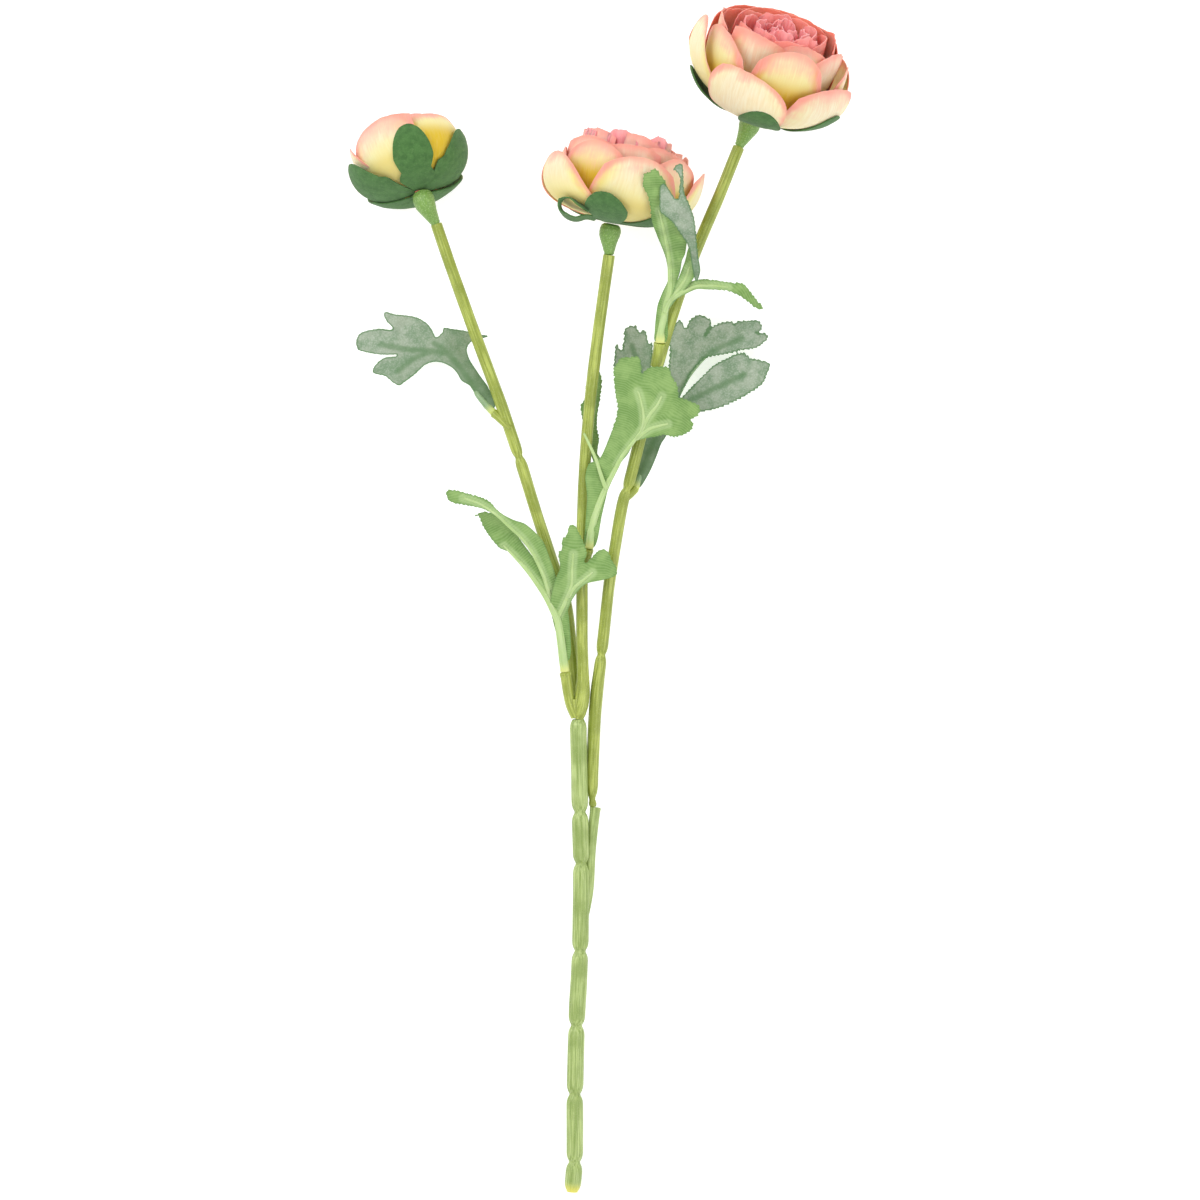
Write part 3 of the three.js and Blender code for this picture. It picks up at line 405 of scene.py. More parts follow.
# A leaf is cut from cloth as one or more sheets. outline is a sheet's edge seen from above, heights are
# points that its cloth is drawn to and ribs the lines of its moulded ribs. teeth is how deep its edge is cut
# further from the stalk than bare, and an upper_side of -1 turns the grey side up. stalks are the bars that
# lie off the cloth, with their radii at both ends: the stalk itself, which runs on as the first rib, and any
# rib that stands free.
LEAVES = {
    "left_leaf": {
        "upper_side": -1,
        "stalks": [
            {"from": 1.6, "to": 1.1, "path": [(-44.6, 78.6, 25.3), (-47.4, 81.4, 25.6), (-51.3, 86, 25.4)]},
        ],
        "sheets": [{
            "teeth": 0.16, "bare": 30,
            "outline": [
                (-47.1, 79.5), (-43.9, 81.3), (-46.8, 89), (-50.9, 94.8), (-54.9, 101.1), (-56, 104.7),
                (-55.4, 107.3), (-53, 109.4), (-47.5, 110.8), (-47.5, 111.5), (-53, 111.7), (-56.4, 113.1),
                (-62.7, 114), (-65.7, 114.4), (-66.1, 112.7), (-68.8, 110.4), (-69.9, 111.9), (-70.7, 113.6),
                (-72.8, 116.3), (-76.5, 118.6), (-80, 119.5), (-86.3, 120.1), (-90.6, 120.8), (-89.7, 117.3),
                (-87.2, 114), (-92.6, 114.1), (-98, 113.4), (-101.4, 111.9), (-102.7, 108.7), (-102, 105.6),
                (-100.6, 104.9), (-96.3, 103.9), (-90.4, 103.3), (-85.4, 103.3), (-85.8, 102.6),
                (-90.4, 102), (-93, 100.6), (-95.5, 97.6), (-95.5, 95.7), (-90.4, 94.3), (-87.2, 91.7),
                (-84.5, 90.3), (-82.9, 91.3), (-78.2, 94.8), (-73.7, 98.8), (-70.2, 100.1), (-66.1, 99.7),
                (-62.1, 97.6), (-59.9, 95.2), (-58, 92.1), (-54.5, 89.8), (-52.2, 86.6), (-48.8, 80.8)
            ],
            "heights": [
                (-45.5, 81.5, 26.2), (-48.5, 86.5, 25), (-54, 94.5, 23), (-59.5, 101.5, 20),
                (-64.5, 104, 19), (-71.5, 105, 17), (-80, 106.5, 15), (-84, 100.5, 14), (-95, 97, 12),
                (-85.5, 107.5, 15), (-98.5, 109, 13), (-102.5, 109, 13), (-78.5, 114, 16.5),
                (-87.5, 118.5, 18), (-58.5, 107, 18), (-51, 111.5, 13), (-47, 111.5, 12)
            ],
            "ribs": [
                [(-51.3, 86.6), (-57.6, 96.1), (-62.7, 102.4), (-65.6, 105.1), (-69.8, 108.1)],
                [(-64.4, 103.9), (-71.5, 104.7), (-82, 105.6), (-92.5, 107.7)],
                [(-69.8, 104.7), (-77.8, 101.8), (-85, 96.3)],
            ],
        }],
    },
    "middle_leaf": {
        "upper_side": 1,
        "stalks": [
            {"from": 1.75, "to": 1, "path": [
                (-4.5, 21.6, 26.4), (-3.6, 29.3, 28.3), (-1.7, 36.4, 30), (0.8, 43.1, 31.2), (3.4, 49, 32),
                (7.1, 56.1, 33)
            ]},
            {"from": 0.95, "to": 0.5, "path": [
                (2.6, 46.2, 32.4), (0.6, 51.6, 33.3), (-1.6, 58.6, 33.1), (-6.8, 70, 31)
            ]},
        ],
        "sheets": [{
            "teeth": 0.55, "bare": 50,
            "outline": [
                (-6.1, 22.6), (-6.1, 31.4), (-5.4, 43.1), (-6.1, 51.8), (-4.6, 56.9), (-0.4, 58.9),
                (2.1, 63.5), (5.4, 71.9), (7.4, 79.4), (6.3, 87.5), (5.9, 97), (7.1, 98.7), (8.4, 100.9),
                (12.5, 101.4), (16.3, 101.3), (17.1, 97.4), (17.6, 92.2), (17.8, 94.5), (20.5, 97),
                (24.2, 97.4), (28.4, 97), (29.9, 93.4), (32.2, 89.5), (33, 84), (33.9, 84.4), (38, 82.8),
                (41.6, 80.8), (41, 77.3), (38.9, 76), (37.4, 75.1), (38.7, 74.3), (38.7, 72.3), (37.6, 70.7),
                (34.7, 69), (30.9, 68.1), (27.6, 69), (22.2, 68.1), (17.1, 67.1), (14.6, 66.1), (11.7, 61.2),
                (9.4, 58.3), (7.3, 56), (5, 51), (3.3, 46), (0.8, 35.5), (-2.1, 22.6)
            ],
            "heights": [
                (-4.3, 25, 26), (-2.5, 31.5, 28.5), (0, 40, 30), (2, 47, 31), (5.5, 54, 32), (9, 60, 33),
                (13.5, 65.5, 34.5), (16.5, 70.5, 35.5), (13, 79.5, 36), (11.5, 95, 35.5), (12, 101, 34.5),
                (20, 79.5, 36.5), (24, 91, 37), (24, 96.5, 36), (28.5, 74, 36), (40.5, 78, 33.5)
            ],
            "ribs": [
                [(7.1, 56.4), (10, 61.2), (14.2, 66.5), (17.6, 71.5), (18.2, 76.9), (16.7, 84.6),
                 (15.7, 87.4)],
                [(17.1, 70.7), (20.5, 76.9), (24.1, 81.7), (25.9, 85.3)],
                [(15, 67.3), (20.1, 71.1), (24.7, 72.7), (28.8, 73.6)],
            ],
        }, {
            "teeth": 0.45, "bare": 44,
            "outline": [
                (0, 59.6), (-1.1, 61.5), (-0.5, 68), (-1.4, 72.6), (-0.8, 79.8), (0.4, 87.3), (0.8, 91.9),
                (0, 95.3), (-2.1, 97.4), (-4.2, 94.9), (-5, 91.7), (-6.1, 89.4), (-6.1, 85), (-8, 81.9),
                (-7.6, 76.8), (-6.3, 70.1), (-4.2, 62.1), (-1.7, 56.3), (0.8, 56.3)
            ],
            "heights": [
                (1, 57, 27), (-2, 62, 22.5), (-5, 71.5, 20.4), (-1.5, 73, 22), (-6, 82, 19.5), (-1, 82, 22),
                (-5, 90.5, 20.5), (0, 92, 22)
            ],
        }],
    },
    "upper_leaf": {
        "upper_side": 1,
        "stalks": [
            {"from": 2.3, "to": 1.5, "path": [(25.2, 107.6, 33.4), (25.4, 112, 34.6)]},
        ],
        "sheets": [{
            "teeth": 0.5, "bare": 50,
            "outline": [
                (23.1, 108.2), (22.9, 112.4), (23.3, 117.8), (24.1, 123.2), (26.2, 128.6), (28.3, 133.2),
                (28.3, 137.4), (27.1, 143.2), (24.1, 150.3), (21.6, 156.5), (20.8, 163.2), (19.6, 167.7),
                (17.9, 170.7), (17.9, 173.4), (18.3, 176.1), (20.2, 176.5), (22.3, 178), (23.7, 177.3),
                (25, 175.4), (26.9, 172.9), (28.3, 166.5), (32.1, 157.3), (35, 151.9), (36, 149.8),
                (35.4, 144), (34.1, 141.1), (33.3, 136.9), (32.1, 132.8), (30.8, 129), (29.1, 123.6),
                (28.3, 116.5), (27.7, 108.2)
            ],
            "heights": [
                (25.3, 110, 33.5), (26, 117.5, 34.3), (26.9, 123, 35.3), (28.9, 132, 38), (28.7, 137, 40.5),
                (28, 143.5, 45), (34, 143.5, 48), (26.7, 149.8, 51), (35, 150, 54), (25, 156.8, 58),
                (32, 158, 61), (23.6, 163, 62.5), (22.5, 168.5, 65), (22.2, 174.6, 67)
            ],
            "ribs": [
                [(26.6, 117.4), (27.7, 123.6), (29.1, 129), (29.3, 134.9), (28.7, 142.6), (27.1, 150.3),
                 (25.4, 158), (24.3, 161.5)],
            ],
        }, {
            "teeth": 0.3, "bare": 60,
            "outline": [
                (27.9, 121.5), (29.5, 126.1), (31.2, 130.7), (33.3, 135.6), (35.4, 141.1), (37.4, 146.9),
                (38.3, 143.1), (38.9, 138.6), (39.1, 134.4), (37.4, 131.9), (35, 129), (31.6, 125.2),
                (28.7, 121.5)
            ],
            "heights": [
                (28.3, 125, 36.3), (30, 130, 38), (33.5, 134.5, 41), (36.5, 140, 46), (38, 145.5, 52)
            ],
            "ribs": [
                [(27, 119.8), (28.7, 124), (32, 128.6), (35.4, 133.6), (37.4, 139)],
            ],
        }, {
            "teeth": 0.3, "bare": 40, "upper_side": -1,
            "outline": [
                (24.8, 170.9), (26.1, 172.1), (27.3, 171.3), (29, 168.8), (31.9, 165.5), (32.7, 169.6),
                (33.1, 174.2), (31, 177.5), (30, 176.8), (31.4, 179.5), (33.8, 180), (34.3, 176.6),
                (34.8, 168.4), (37.2, 162.6), (38.9, 158), (39.7, 152.2), (40.7, 143.1), (41.7, 137.3),
                (41, 134), (40, 132.4), (38.5, 137.3), (37.2, 144.8), (35.4, 148.9), (33.1, 151.8),
                (29.8, 156.4), (26.5, 158.9), (24.8, 160.5)
            ],
            "heights": [
                (40.3, 133, 46), (39.5, 140, 50), (41, 139, 49), (37, 147.5, 56.5), (40.5, 147, 56),
                (33.5, 155, 63), (39, 155, 61), (27, 162, 66), (33, 164.5, 67.5), (26, 171.5, 66.5),
                (34, 171.5, 67.8), (33, 178, 67)
            ],
        }, {
            "teeth": 0.5, "bare": 32,
            "outline": [
                (27.9, 123.3), (31, 127.9), (34.6, 130.4), (37.7, 132.6), (40.3, 133.4), (43.3, 133.7),
                (49.6, 132.9), (54.6, 132), (59.2, 131.9), (62.4, 128.7), (65, 125.2), (67.9, 121.6),
                (64.4, 122), (62.4, 123.7), (58.3, 126.6), (53.1, 128.7), (45.4, 129.3), (40.3, 129.5),
                (36.2, 127.9), (31.7, 125.4), (28.3, 122)
            ],
            "heights": [
                (28, 125, 36), (32.5, 127.8, 38), (36, 129, 39.5), (41.5, 130.2, 42), (48, 129.8, 44.5),
                (54, 129.1, 45), (58.5, 127.9, 44), (62, 125.3, 42.5), (66.8, 121.2, 39.5)
            ],
            "ribs": [
                [(27.5, 123.3), (31.2, 126.4), (35, 128.7), (40.3, 130.8), (45.4, 131), (53.6, 130.2)],
            ],
        }],
    },
    "right_leaf": {
        "upper_side": -1,
        "stalks": [
            {"from": 1.5, "to": 1.1, "path": [(14.9, 46.6, 23), (16.2, 50.5, 22.8)]},
        ],
        "sheets": [{
            "teeth": 0.6, "bare": 42,
            "outline": [
                (14.7, 48), (15.6, 54.3), (16.8, 60.2), (18.5, 66.1), (16.8, 73.7), (13, 84.2), (8.8, 93.4),
                (5.9, 98.5), (6.3, 103.1), (7, 107.8), (8.8, 105.2), (10.1, 109.9), (10.3, 113.6),
                (12.2, 115.3), (15.2, 115.3), (16.4, 112.8), (18.9, 113.6), (20.4, 108.2), (21.9, 108.2),
                (21.9, 102.3), (21.5, 97.2), (23.6, 88.4), (25.7, 82.1), (26.9, 86.3), (28.2, 92.6),
                (29, 98.1), (29.5, 105.6), (29, 109.4), (32, 116.6), (33.7, 117.9), (36.2, 114.5),
                (37.7, 117.6), (41.5, 120), (45.9, 118.4), (47, 117), (45.5, 114.1), (44.2, 111.3),
                (47, 114.9), (51.3, 116.8), (55.6, 117.2), (56.4, 116), (57.7, 117.2), (61.7, 117.6),
                (67.2, 117.4), (68, 113.6), (65.7, 112.4), (69.7, 112.4), (70.7, 110.5), (67.8, 107.5),
                (65, 106.1), (58.9, 105.2), (54.7, 104), (49.7, 103.1), (44.6, 102), (41.5, 99.5),
                (38.3, 95.7), (36, 90.9), (33.3, 85), (34.5, 85.4), (39.1, 90.2), (45.3, 96.4), (48.6, 99.3),
                (54.7, 102.3), (57.2, 103.5), (61, 104), (63.4, 101.9), (67.8, 101), (71.6, 99.3),
                (69.9, 94.3), (69.4, 92.6), (67.3, 90.2), (62.7, 87.1), (56.8, 83.8), (49.7, 80.9),
                (42.1, 79.1), (34.9, 76.6), (29, 71.6), (27.4, 68.4), (25.7, 65.7), (24, 61.2), (21.3, 54.7),
                (18.5, 49.7), (16.4, 47.1)
            ],
            "heights": [
                (17, 52.5, 22.8), (19, 58.5, 22), (22.5, 67, 19), (26, 75.5, 16), (28.5, 82, 14),
                (22.5, 88, 12.5), (17, 98, 11), (14, 111, 12), (32, 94.5, 12), (35.5, 104.5, 12),
                (38, 111, 13), (41, 120, 14), (48, 107.5, 13), (57, 110.5, 14), (70, 111, 12),
                (35.5, 85.5, 12.5), (43, 87, 11), (51.5, 90, 10.5), (60, 94, 11), (71, 98.5, 10.5)
            ],
            "ribs": [
                [(17.7, 53.9), (21, 63.1), (26.1, 73.7), (31.1, 82.1), (37.9, 94.7), (47.1, 104.4),
                 (59.8, 110.3)],
                [(30.3, 79.1), (37.9, 84.2), (48.4, 89.2), (61, 95.1)],
                [(23.6, 68.2), (21.9, 82.1), (16.8, 96.8), (13.5, 107.3)],
            ],
        }],
    },
    "fork_leaf": {
        "upper_side": 1,
        "stalks": [
            {"from": 1.9, "to": 1.6, "path": [
                (-14.7, -30.3, 21.2), (-15.4, -25, 22.2), (-16.4, -17, 23.8), (-17.9, -8.2, 25.7)
            ]},
        ],
        "sheets": [{
            "teeth": 0.5, "bare": 60,
            "outline": [
                (-18.9, -10.5), (-20.5, -5), (-22.6, 0), (-24.7, 3.6), (-27.7, 8.4), (-34.4, 16.3),
                (-37.7, 20.1), (-40, 20.9), (-42.3, 22), (-46.1, 26.4), (-49.2, 31.2), (-51.1, 35.6),
                (-52.6, 35.2), (-50.7, 36.4), (-48.2, 37.1), (-45.7, 36.4), (-42.3, 34.8), (-38.5, 31.8),
                (-35.6, 28.5), (-32.7, 24.3), (-29.3, 19.7), (-26, 15.1), (-23.5, 10.1), (-20.9, 3.4),
                (-18.4, -2.5), (-16.8, -9.2)
            ],
            "heights": [
                (-17.2, -13, 24.4), (-18.5, -6.5, 25.2), (-20.6, 0.5, 26.3), (-23.5, 6.5, 27.4),
                (-30.1, 12.1, 28), (-35.2, 17.5, 26.5), (-40.5, 22.8, 25), (-45, 28.2, 24.3),
                (-49.6, 35.6, 23)
            ],
            "ribs": [
                [(-19.3, -5), (-21.8, 0), (-24, 3.6), (-30.2, 12.1), (-35.2, 17.6), (-40.6, 23)],
            ],
        }, {
            "teeth": 0.5, "bare": 74,
            "outline": [
                (-19.2, -9.2), (-21.3, 0), (-23, 6.7), (-25.9, 15.2), (-29.3, 20.5), (-33.5, 25.6),
                (-37.2, 30.1), (-42.3, 34.3), (-47.9, 37.7), (-53.5, 39.3), (-59, 40.2), (-63.2, 41.6),
                (-64.2, 45.6), (-60.7, 46), (-57.7, 45.2), (-54.8, 44.3), (-50.2, 43.1), (-46, 41),
                (-43.5, 38.2), (-40.6, 35.8), (-36.4, 33.6), (-31.4, 31.8), (-27.2, 28.4), (-23.8, 24.4),
                (-20.9, 17.2), (-18.4, 9.2), (-17.6, 2.1), (-16.3, -9.2)
            ],
            "heights": [
                (-18.5, -6.5, 25.2), (-20.6, 0.5, 26.3), (-22.7, 6.5, 27.8), (-24.2, 11.5, 29.3),
                (-28.7, 20.9, 31), (-33.2, 26.4, 32.5), (-37.7, 30.6, 33.5), (-42.3, 34.6, 34),
                (-48, 38.5, 33.8), (-54.5, 41.3, 32.3), (-60, 42.9, 30.2), (-63, 43.9, 29)
            ],
            "ribs": [
                [(-18, -7.5), (-20.5, 0), (-23.8, 10.5), (-28.9, 20.9), (-33.2, 26.4), (-37.7, 30.5),
                 (-42.7, 35.1), (-50.2, 40.2), (-57.3, 42.7)],
            ],
        }, {
            "teeth": 0.45, "bare": 46,
            "outline": [
                (-18.4, 9.2), (-16.7, 13.4), (-17.4, 20.1), (-16, 20.9), (-15.7, 25.9), (-14.2, 26.6),
                (-12.6, 31.2), (-10.5, 31), (-8.8, 28), (-6.5, 23.2), (-5.6, 19.7), (-6.3, 15.5),
                (-3.8, 17.4), (-1.3, 20.1), (1.5, 21.3), (3.6, 19.8), (5, 16.4), (6.7, 14), (6.7, 10.5),
                (1.7, 8.5), (-5.6, 6.9), (-8.8, 4.2), (-11.7, 0), (-13.4, -4.4), (-13, -7.5), (-12.3, -17.2),
                (-12.3, -22.8), (-13.6, -25.5), (-15.5, -23), (-17.6, -16.7), (-19.7, -8.8), (-20.9, -2.5),
                (-20.1, 3.3)
            ],
            "heights": [
                (-14, -26, 21.2), (-14, -19, 21.8), (-17.4, -13, 24.4), (-14, -8, 25), (-18.5, -6.5, 25.2),
                (-15.4, -1.5, 27), (-11.8, 4.5, 29.5), (-11.7, 11, 31), (-11.5, 17, 32), (-11.6, 23, 33),
                (-11.8, 29.6, 33.5), (-7.4, 8.2, 30), (-3.3, 11.6, 31), (1.2, 14.3, 31.5), (6, 15.7, 31)
            ],
            "ribs": [
                [(-18, -7.9), (-14.2, 0), (-11.9, 6.3), (-11.7, 12.1), (-11.1, 19.7)],
                [(-13.4, 1.3), (-10.9, 5), (-7.5, 7.9), (-2.9, 11.7)],
            ],
        }],
    },
}


def traced(outline):
    """Points a short step apart round a closed outline, each with the way out of it and the step."""
    corners = [Vector((*spot, 0)) for spot in outline]
    for number in range(len(corners)):
        before, corner, following, beyond = [corners[(number + k) % len(corners)] for k in (-1, 0, 1, 2)]
        span = (following - corner).length
        leave = (following - before).normalized() * span * 0.8
        arrive = (beyond - corner).normalized() * span * 0.8
        outwards = (following - corner).normalized().cross(UP)
        steps = max(2, round(span / EDGE_STEP))
        for i in range(steps):
            yield hermite(corner, following, leave, arrive, i / steps), outwards, span / steps


def toothed(sheet, origin):
    """The edge of a sheet, cut in uneven saw teeth where it is far from the stalk."""
    spots, since, pitch = [], 0.0, TOOTH_PITCH
    for spot, outwards, step in traced(sheet["outline"]):
        since += step
        if since > pitch:
            since = 0.0
            pitch = TOOTH_PITCH * (1 + 0.7 * wander(spot * 0.7, 11.0))
        far = smooth(sheet["bare"] - 4, sheet["bare"] + 4, (spot - origin).length)
        depth = sheet["teeth"] * far * (1 + 0.9 * wander(spot * 0.23, 3.0))
        spots.append(spot + outwards * depth * (since / pitch - 0.45))
    return spots


def crossings_at(y, spots):
    """Where a line at y crosses a closed outline."""
    found = []
    for a, b in zip(spots, spots[1:] + spots[:1]):
        if (a.y > y) != (b.y > y):
            found.append(a.x + (b.x - a.x) * (y - a.y) / (b.y - a.y))
    return found


def is_inside(x, crossings):
    return sum(1 for crossing in crossings if crossing < x) % 2 == 1


def height_at(x, y, heights):
    """The height of the cloth, drawn towards each point it passes through by how near that is."""
    total, weight = 0.0, 0.0
    for px, py, pz in heights:
        near = 1 / ((x - px) ** 2 + (y - py) ** 2 + 4) ** 1.6
        total += near * pz
        weight += near
    height = total / weight + 0.35 * wander((0.16 * x, 0.16 * y, 0), 2.0)
    return height + 0.2 * wander((0.4 * x, 0.4 * y, 0), 5.0)


def flat_path(spots):
    """A path seen from above."""
    return Path([(*spot, 0) for spot in spots])


def rib_lookup(ribs):
    """Finds the nearest point of several ribs, every half millimetre along them."""
    lines = [flat_path(rib) for rib in ribs]
    return lookup([line.at(0.5 * i) for line in lines for i in range(int(2 * line.total) + 1)])


def trim(piece, is_deep):
    """Deletes the cells of a grid that have no corner well inside the outline."""
    wanted = set()
    for face in piece.data.polygons:
        if any(is_deep[vertex] for vertex in face.vertices):
            wanted.update(face.vertices)
    edit(piece, bpy.ops.mesh.select_all, action="DESELECT")
    for vertex in piece.data.vertices:
        vertex.select = vertex.index not in wanted
    bpy.ops.object.mode_set(mode="EDIT")
    bpy.ops.mesh.delete(type="VERT")
    bpy.ops.object.mode_set(mode="OBJECT")


def cells_over(spots):
    """Where the columns and the rows of a grid lie that covers an outline with a cell to spare."""
    lines = []
    for k in (0, 1):
        low, high = min(spot[k] for spot in spots) - CELL, max(spot[k] for spot in spots) + CELL
        count = round((high - low) / CELL)
        lines.append([lerp(low, high, i / count) for i in range(count + 1)])
    return lines


def cut_sheet(name, leaf, sheet):
    """A grid primitive cut to a sheet's outline: cells outside go, and those on it are drawn onto it.

    Its attribute cut holds how far each point is from the edge, from a rib and from the stalk.
    """
    origin = Vector((*leaf["stalks"][0]["path"][0][:2], 0))
    side = sheet.get("upper_side", leaf["upper_side"])
    spots = toothed(sheet, origin)
    edge = lookup(spots)
    ribs = rib_lookup(sheet["ribs"]) if "ribs" in sheet else None
    xs, ys = cells_over(spots)
    crossings = [crossings_at(y + 1e-5, spots) for y in ys]
    deep = set()

    def place(across, along):
        i, j = round((across + 1) / 2 * (len(xs) - 1)), round(along * (len(ys) - 1))
        spot = Vector((xs[i], ys[j], 0))
        rim, _, distance = edge.find(spot)
        if is_inside(spot.x, crossings[j]) and distance > 0.5 * CELL:
            deep.add((i, j))
        else:
            spot, distance = rim.copy(), 0.0
        from_rib = min(GUTTER_WIDTH, ribs.find(spot)[2]) if ribs else GUTTER_WIDTH / 2
        z = height_at(spot.x, spot.y, sheet["heights"]) + side * GUTTER * from_rib
        return Vector((spot.x, spot.y, z)), (distance, from_rib, (spot - origin).length)

    piece = shaped_grid(name, len(xs) - 1, len(ys) - 1, place, ["cut"])
    trim(piece, [(i, j) in deep for j in range(len(ys)) for i in range(len(xs))])
    if side < 0:
        edit(piece, bpy.ops.mesh.flip_normals)
    edit(piece, bpy.ops.mesh.remove_doubles, threshold=EDGE_WELD * MM)
    return piece


def make_blade(name, leaf, materials):
    """The sheets of a leaf as one piece with the cloth's thickness, two faces and a cut edge."""
    blade = join([cut_sheet(name, leaf, sheet) for sheet in leaf["sheets"]], name)
    for material in materials:
        blade.data.materials.append(material)
    apply(blade, "SOLIDIFY", thickness=LEAF_CLOTH * MM, offset=0.0, use_even_offset=False, material_offset=1,
          material_offset_rim=2)
    soften(blade, 45)
    return blade


def rib_bar(name, points, start, end):
    """A low rib that narrows from its start to its end."""
    way = Path(points, RIB_CURVE_STEPS)
    profile = [(0, 0.8 * start), (0.3, start), (way.total - 0.5, end), (way.total, 0.4 * end)]
    return bar(name, way, profile, RIB_SIDES, flat=RIB_FLATNESS, seed=1)


def rib_spots(rib, sheet, side, start, flatness):
    """Points along a rib, on its sheet's cloth or, where the grey side is up, just under it."""
    line = flat_path(rib)
    count = round(line.total / RIB_STEP)
    spots = []
    for i in range(count + 1):
        x, y, _ = line.at(line.total * i / count)
        radius = lerp(start, RIB_TIP_RADIUS, i / count)
        lift = 0.6 * LEAF_CLOTH if side > 0 else -0.5 * LEAF_CLOTH - 0.9 * flatness * radius
        spots.append((x, y, height_at(x, y, sheet["heights"]) + lift))
    return spots


def make_stalk(name, leaf):
    """A leaf's stalk, which runs on as its main rib, and the side ribs on its sheets."""
    stalk, *free = leaf["stalks"]
    side = leaf["upper_side"]
    main, *others = [(rib, sheet) for sheet in leaf["sheets"] for rib in sheet.get("ribs", [])]
    onto_cloth = rib_spots(*main, side, stalk["to"], STALK_FLATNESS)[1:]
    way = Path(stalk["path"] + onto_cloth, RIB_CURVE_STEPS)
    joint = Path(stalk["path"], RIB_CURVE_STEPS).total
    profile = [(0, 0.85 * stalk["from"]), (0.3, stalk["from"]), (joint, stalk["to"]),
               (way.total - 0.5, RIB_TIP_RADIUS), (way.total, 0.4 * RIB_TIP_RADIUS)]
    bars = [bar(name, way, profile, STALK_SIDES, flat=STALK_FLATNESS)]
    bars += [rib_bar(name, rib["path"], rib["from"], rib["to"]) for rib in free]
    start = RIB_RADIUS if side > 0 else HIDDEN_RIB_RADIUS
    for rib, sheet in others:
        bars.append(rib_bar(name, rib_spots(rib, sheet, side, start, RIB_FLATNESS), start, RIB_TIP_RADIUS))
    return join(bars, name)


# ---------- heads ----------

# A petal's profile starts at base, is drawn towards belly and ends at rim, each a (radius, height) about the
# head's axis, and reach is the share of it that the petal covers. azimuth 0 faces up and 90 to the right, and
# lean turns the tip to a side. half is the petal's half breadth, foot the share of that at the base, widest
# where it is broadest and roundness how round its end is. lift and curl take it outwards all along and near
# its end, tuck and slant one side of it outwards and higher. ruffle, pleats and crumple are how deep its
# folds are. The last entry is how much pink flush, gold at the base and deep pink it takes, as dye and as
# painted shade: the gold also paints the golden shade where a neighbour covers a side, the deep pink turns
# crimson deep in the opening where shade falls, and the strongest flush paints the shade on the back petals.
PLAIN = {"reach": 1, "lean": 0, "foot": 0.36, "widest": 0.5, "roundness": 0.8, "lift": 0, "curl": 0,
         "tuck": 1, "slant": 0, "ruffle": 0, "pleats": 0, "crumple": 0, "dye_and_shade": (0, 0, 0)}

CUP_HALF = 37  # degrees to each side over which a sepal is one with its neighbours


def petal_outline(petal, u, v):
    """How far up its profile a point of a petal lies and how broad the petal is there, both as shares."""
    widest, roundness = petal["widest"], petal["roundness"]
    upper = max(0, (v - widest) / (1 - widest))
    share = v if v < widest else widest + (1 - widest) * upper * math.sqrt(1 - 0.5 * roundness * u * u)
    breadth = lerp(petal["foot"], 1, math.sin(math.pi / 2 * min(1, v / widest)))
    return share, breadth * math.sqrt(1 - 0.5 * roundness * upper * upper)


def profile_at(petal, along):
    """The radius and height of a petal's profile, and which way it runs there."""
    base, belly, rim = petal["base"], petal["belly"], petal["rim"]
    a, b, c = (1 - along) ** 2, 2 * along * (1 - along), along**2
    radius, height = [a * base[k] + b * belly[k] + c * rim[k] for k in (0, 1)]
    outwards, upwards = [lerp(belly[k] - base[k], rim[k] - belly[k], along) for k in (0, 1)]
    steep = math.hypot(outwards, upwards)
    return radius, height, outwards / steep, upwards / steep


def folds(petal, u, v, share, along):
    """How far lift, curl and folds take a point away from the profile and how far the folds raise it."""
    phase, seed = petal["phase"], petal["seed"]
    wave, crumple = petal["ruffle"] * share**3, petal["crumple"] * share
    out = petal["lift"] * min(1, 0.5 + 2 * along) + petal["curl"] * max(0, share - 0.6) ** 2 * 6
    out += wave * (math.sin(3 * u + phase) + 0.35 * math.sin(9 * u + 2 * phase))
    out += petal["pleats"] * share**2 * math.sin(14 * u + phase + 3 * wander((3 * u, 1.5 * v, 0), seed))
    out += crumple * (wander((2.6 * u, 3.2 * v, 0), seed) + 0.6 * wander((6 * u, 7 * v, 3), seed))
    out += 0.2 * wander((2.2 * u, 2.2 * v, 0), seed + 3) + 0.05 * wander((9 * u, 2 * v, 1), seed)
    rise = 0.6 * wave * math.cos(3 * u + 2 * phase) + 0.6 * crumple * wander((3 * u, 2 * v, 9), seed)
    rise += 0.25 * share**6 * wander((9 * u, 0, 4), seed) * (1 + petal["ruffle"])
    return out, rise


def petal_place(petal, u, v):
    """A point of a petal in its head's own frame, and what its cloth, its margin and its dye read there.

    u runs from -1 to 1 across the petal and v from 0 at its base to 1 at its rim.
    """
    share, breadth = petal_outline(petal, u, v)
    along = petal["reach"] * share * (1 + petal["slant"] * u)
    radius, height, outwards, upwards = profile_at(petal, along)
    out, rise = folds(petal, u, v, share, along)
    r = radius + out * upwards + petal["tuck"] * u * min(1, 2.5 * along)
    z = height - out * outwards + rise
    spread = petal["half"] * breadth / max(r, 0.7 * petal["belly"][0])
    if "merge" in petal:
        apart = smooth(petal["merge"], petal["merge"] + 0.18, along)
        spread = max(spread, math.radians(CUP_HALF) * (1 - apart))
    angle = math.radians(petal["azimuth"] + petal["lean"] * along) + u * spread
    cloth = (u * petal["half"] * breadth, share * (petal["belly"][0] + petal["rim"][1]), petal["seed"])
    edge = (abs(u) ** 5 + max(0, (v - 0.3) / 0.7) ** 5) ** 0.2
    return (r * math.sin(angle), -r * math.cos(angle), z), cloth, (edge, share, u), petal["dye_and_shade"]


def whorl(azimuths, shape, changes=None):
    """A ring of petals of one shape, some with changes of their own by azimuth."""
    changes = changes or {}
    return [{**PLAIN, **shape, "phase": 1.9 * i, "azimuth": azimuth, **changes.get(azimuth, {})}
            for i, azimuth in enumerate(azimuths)]


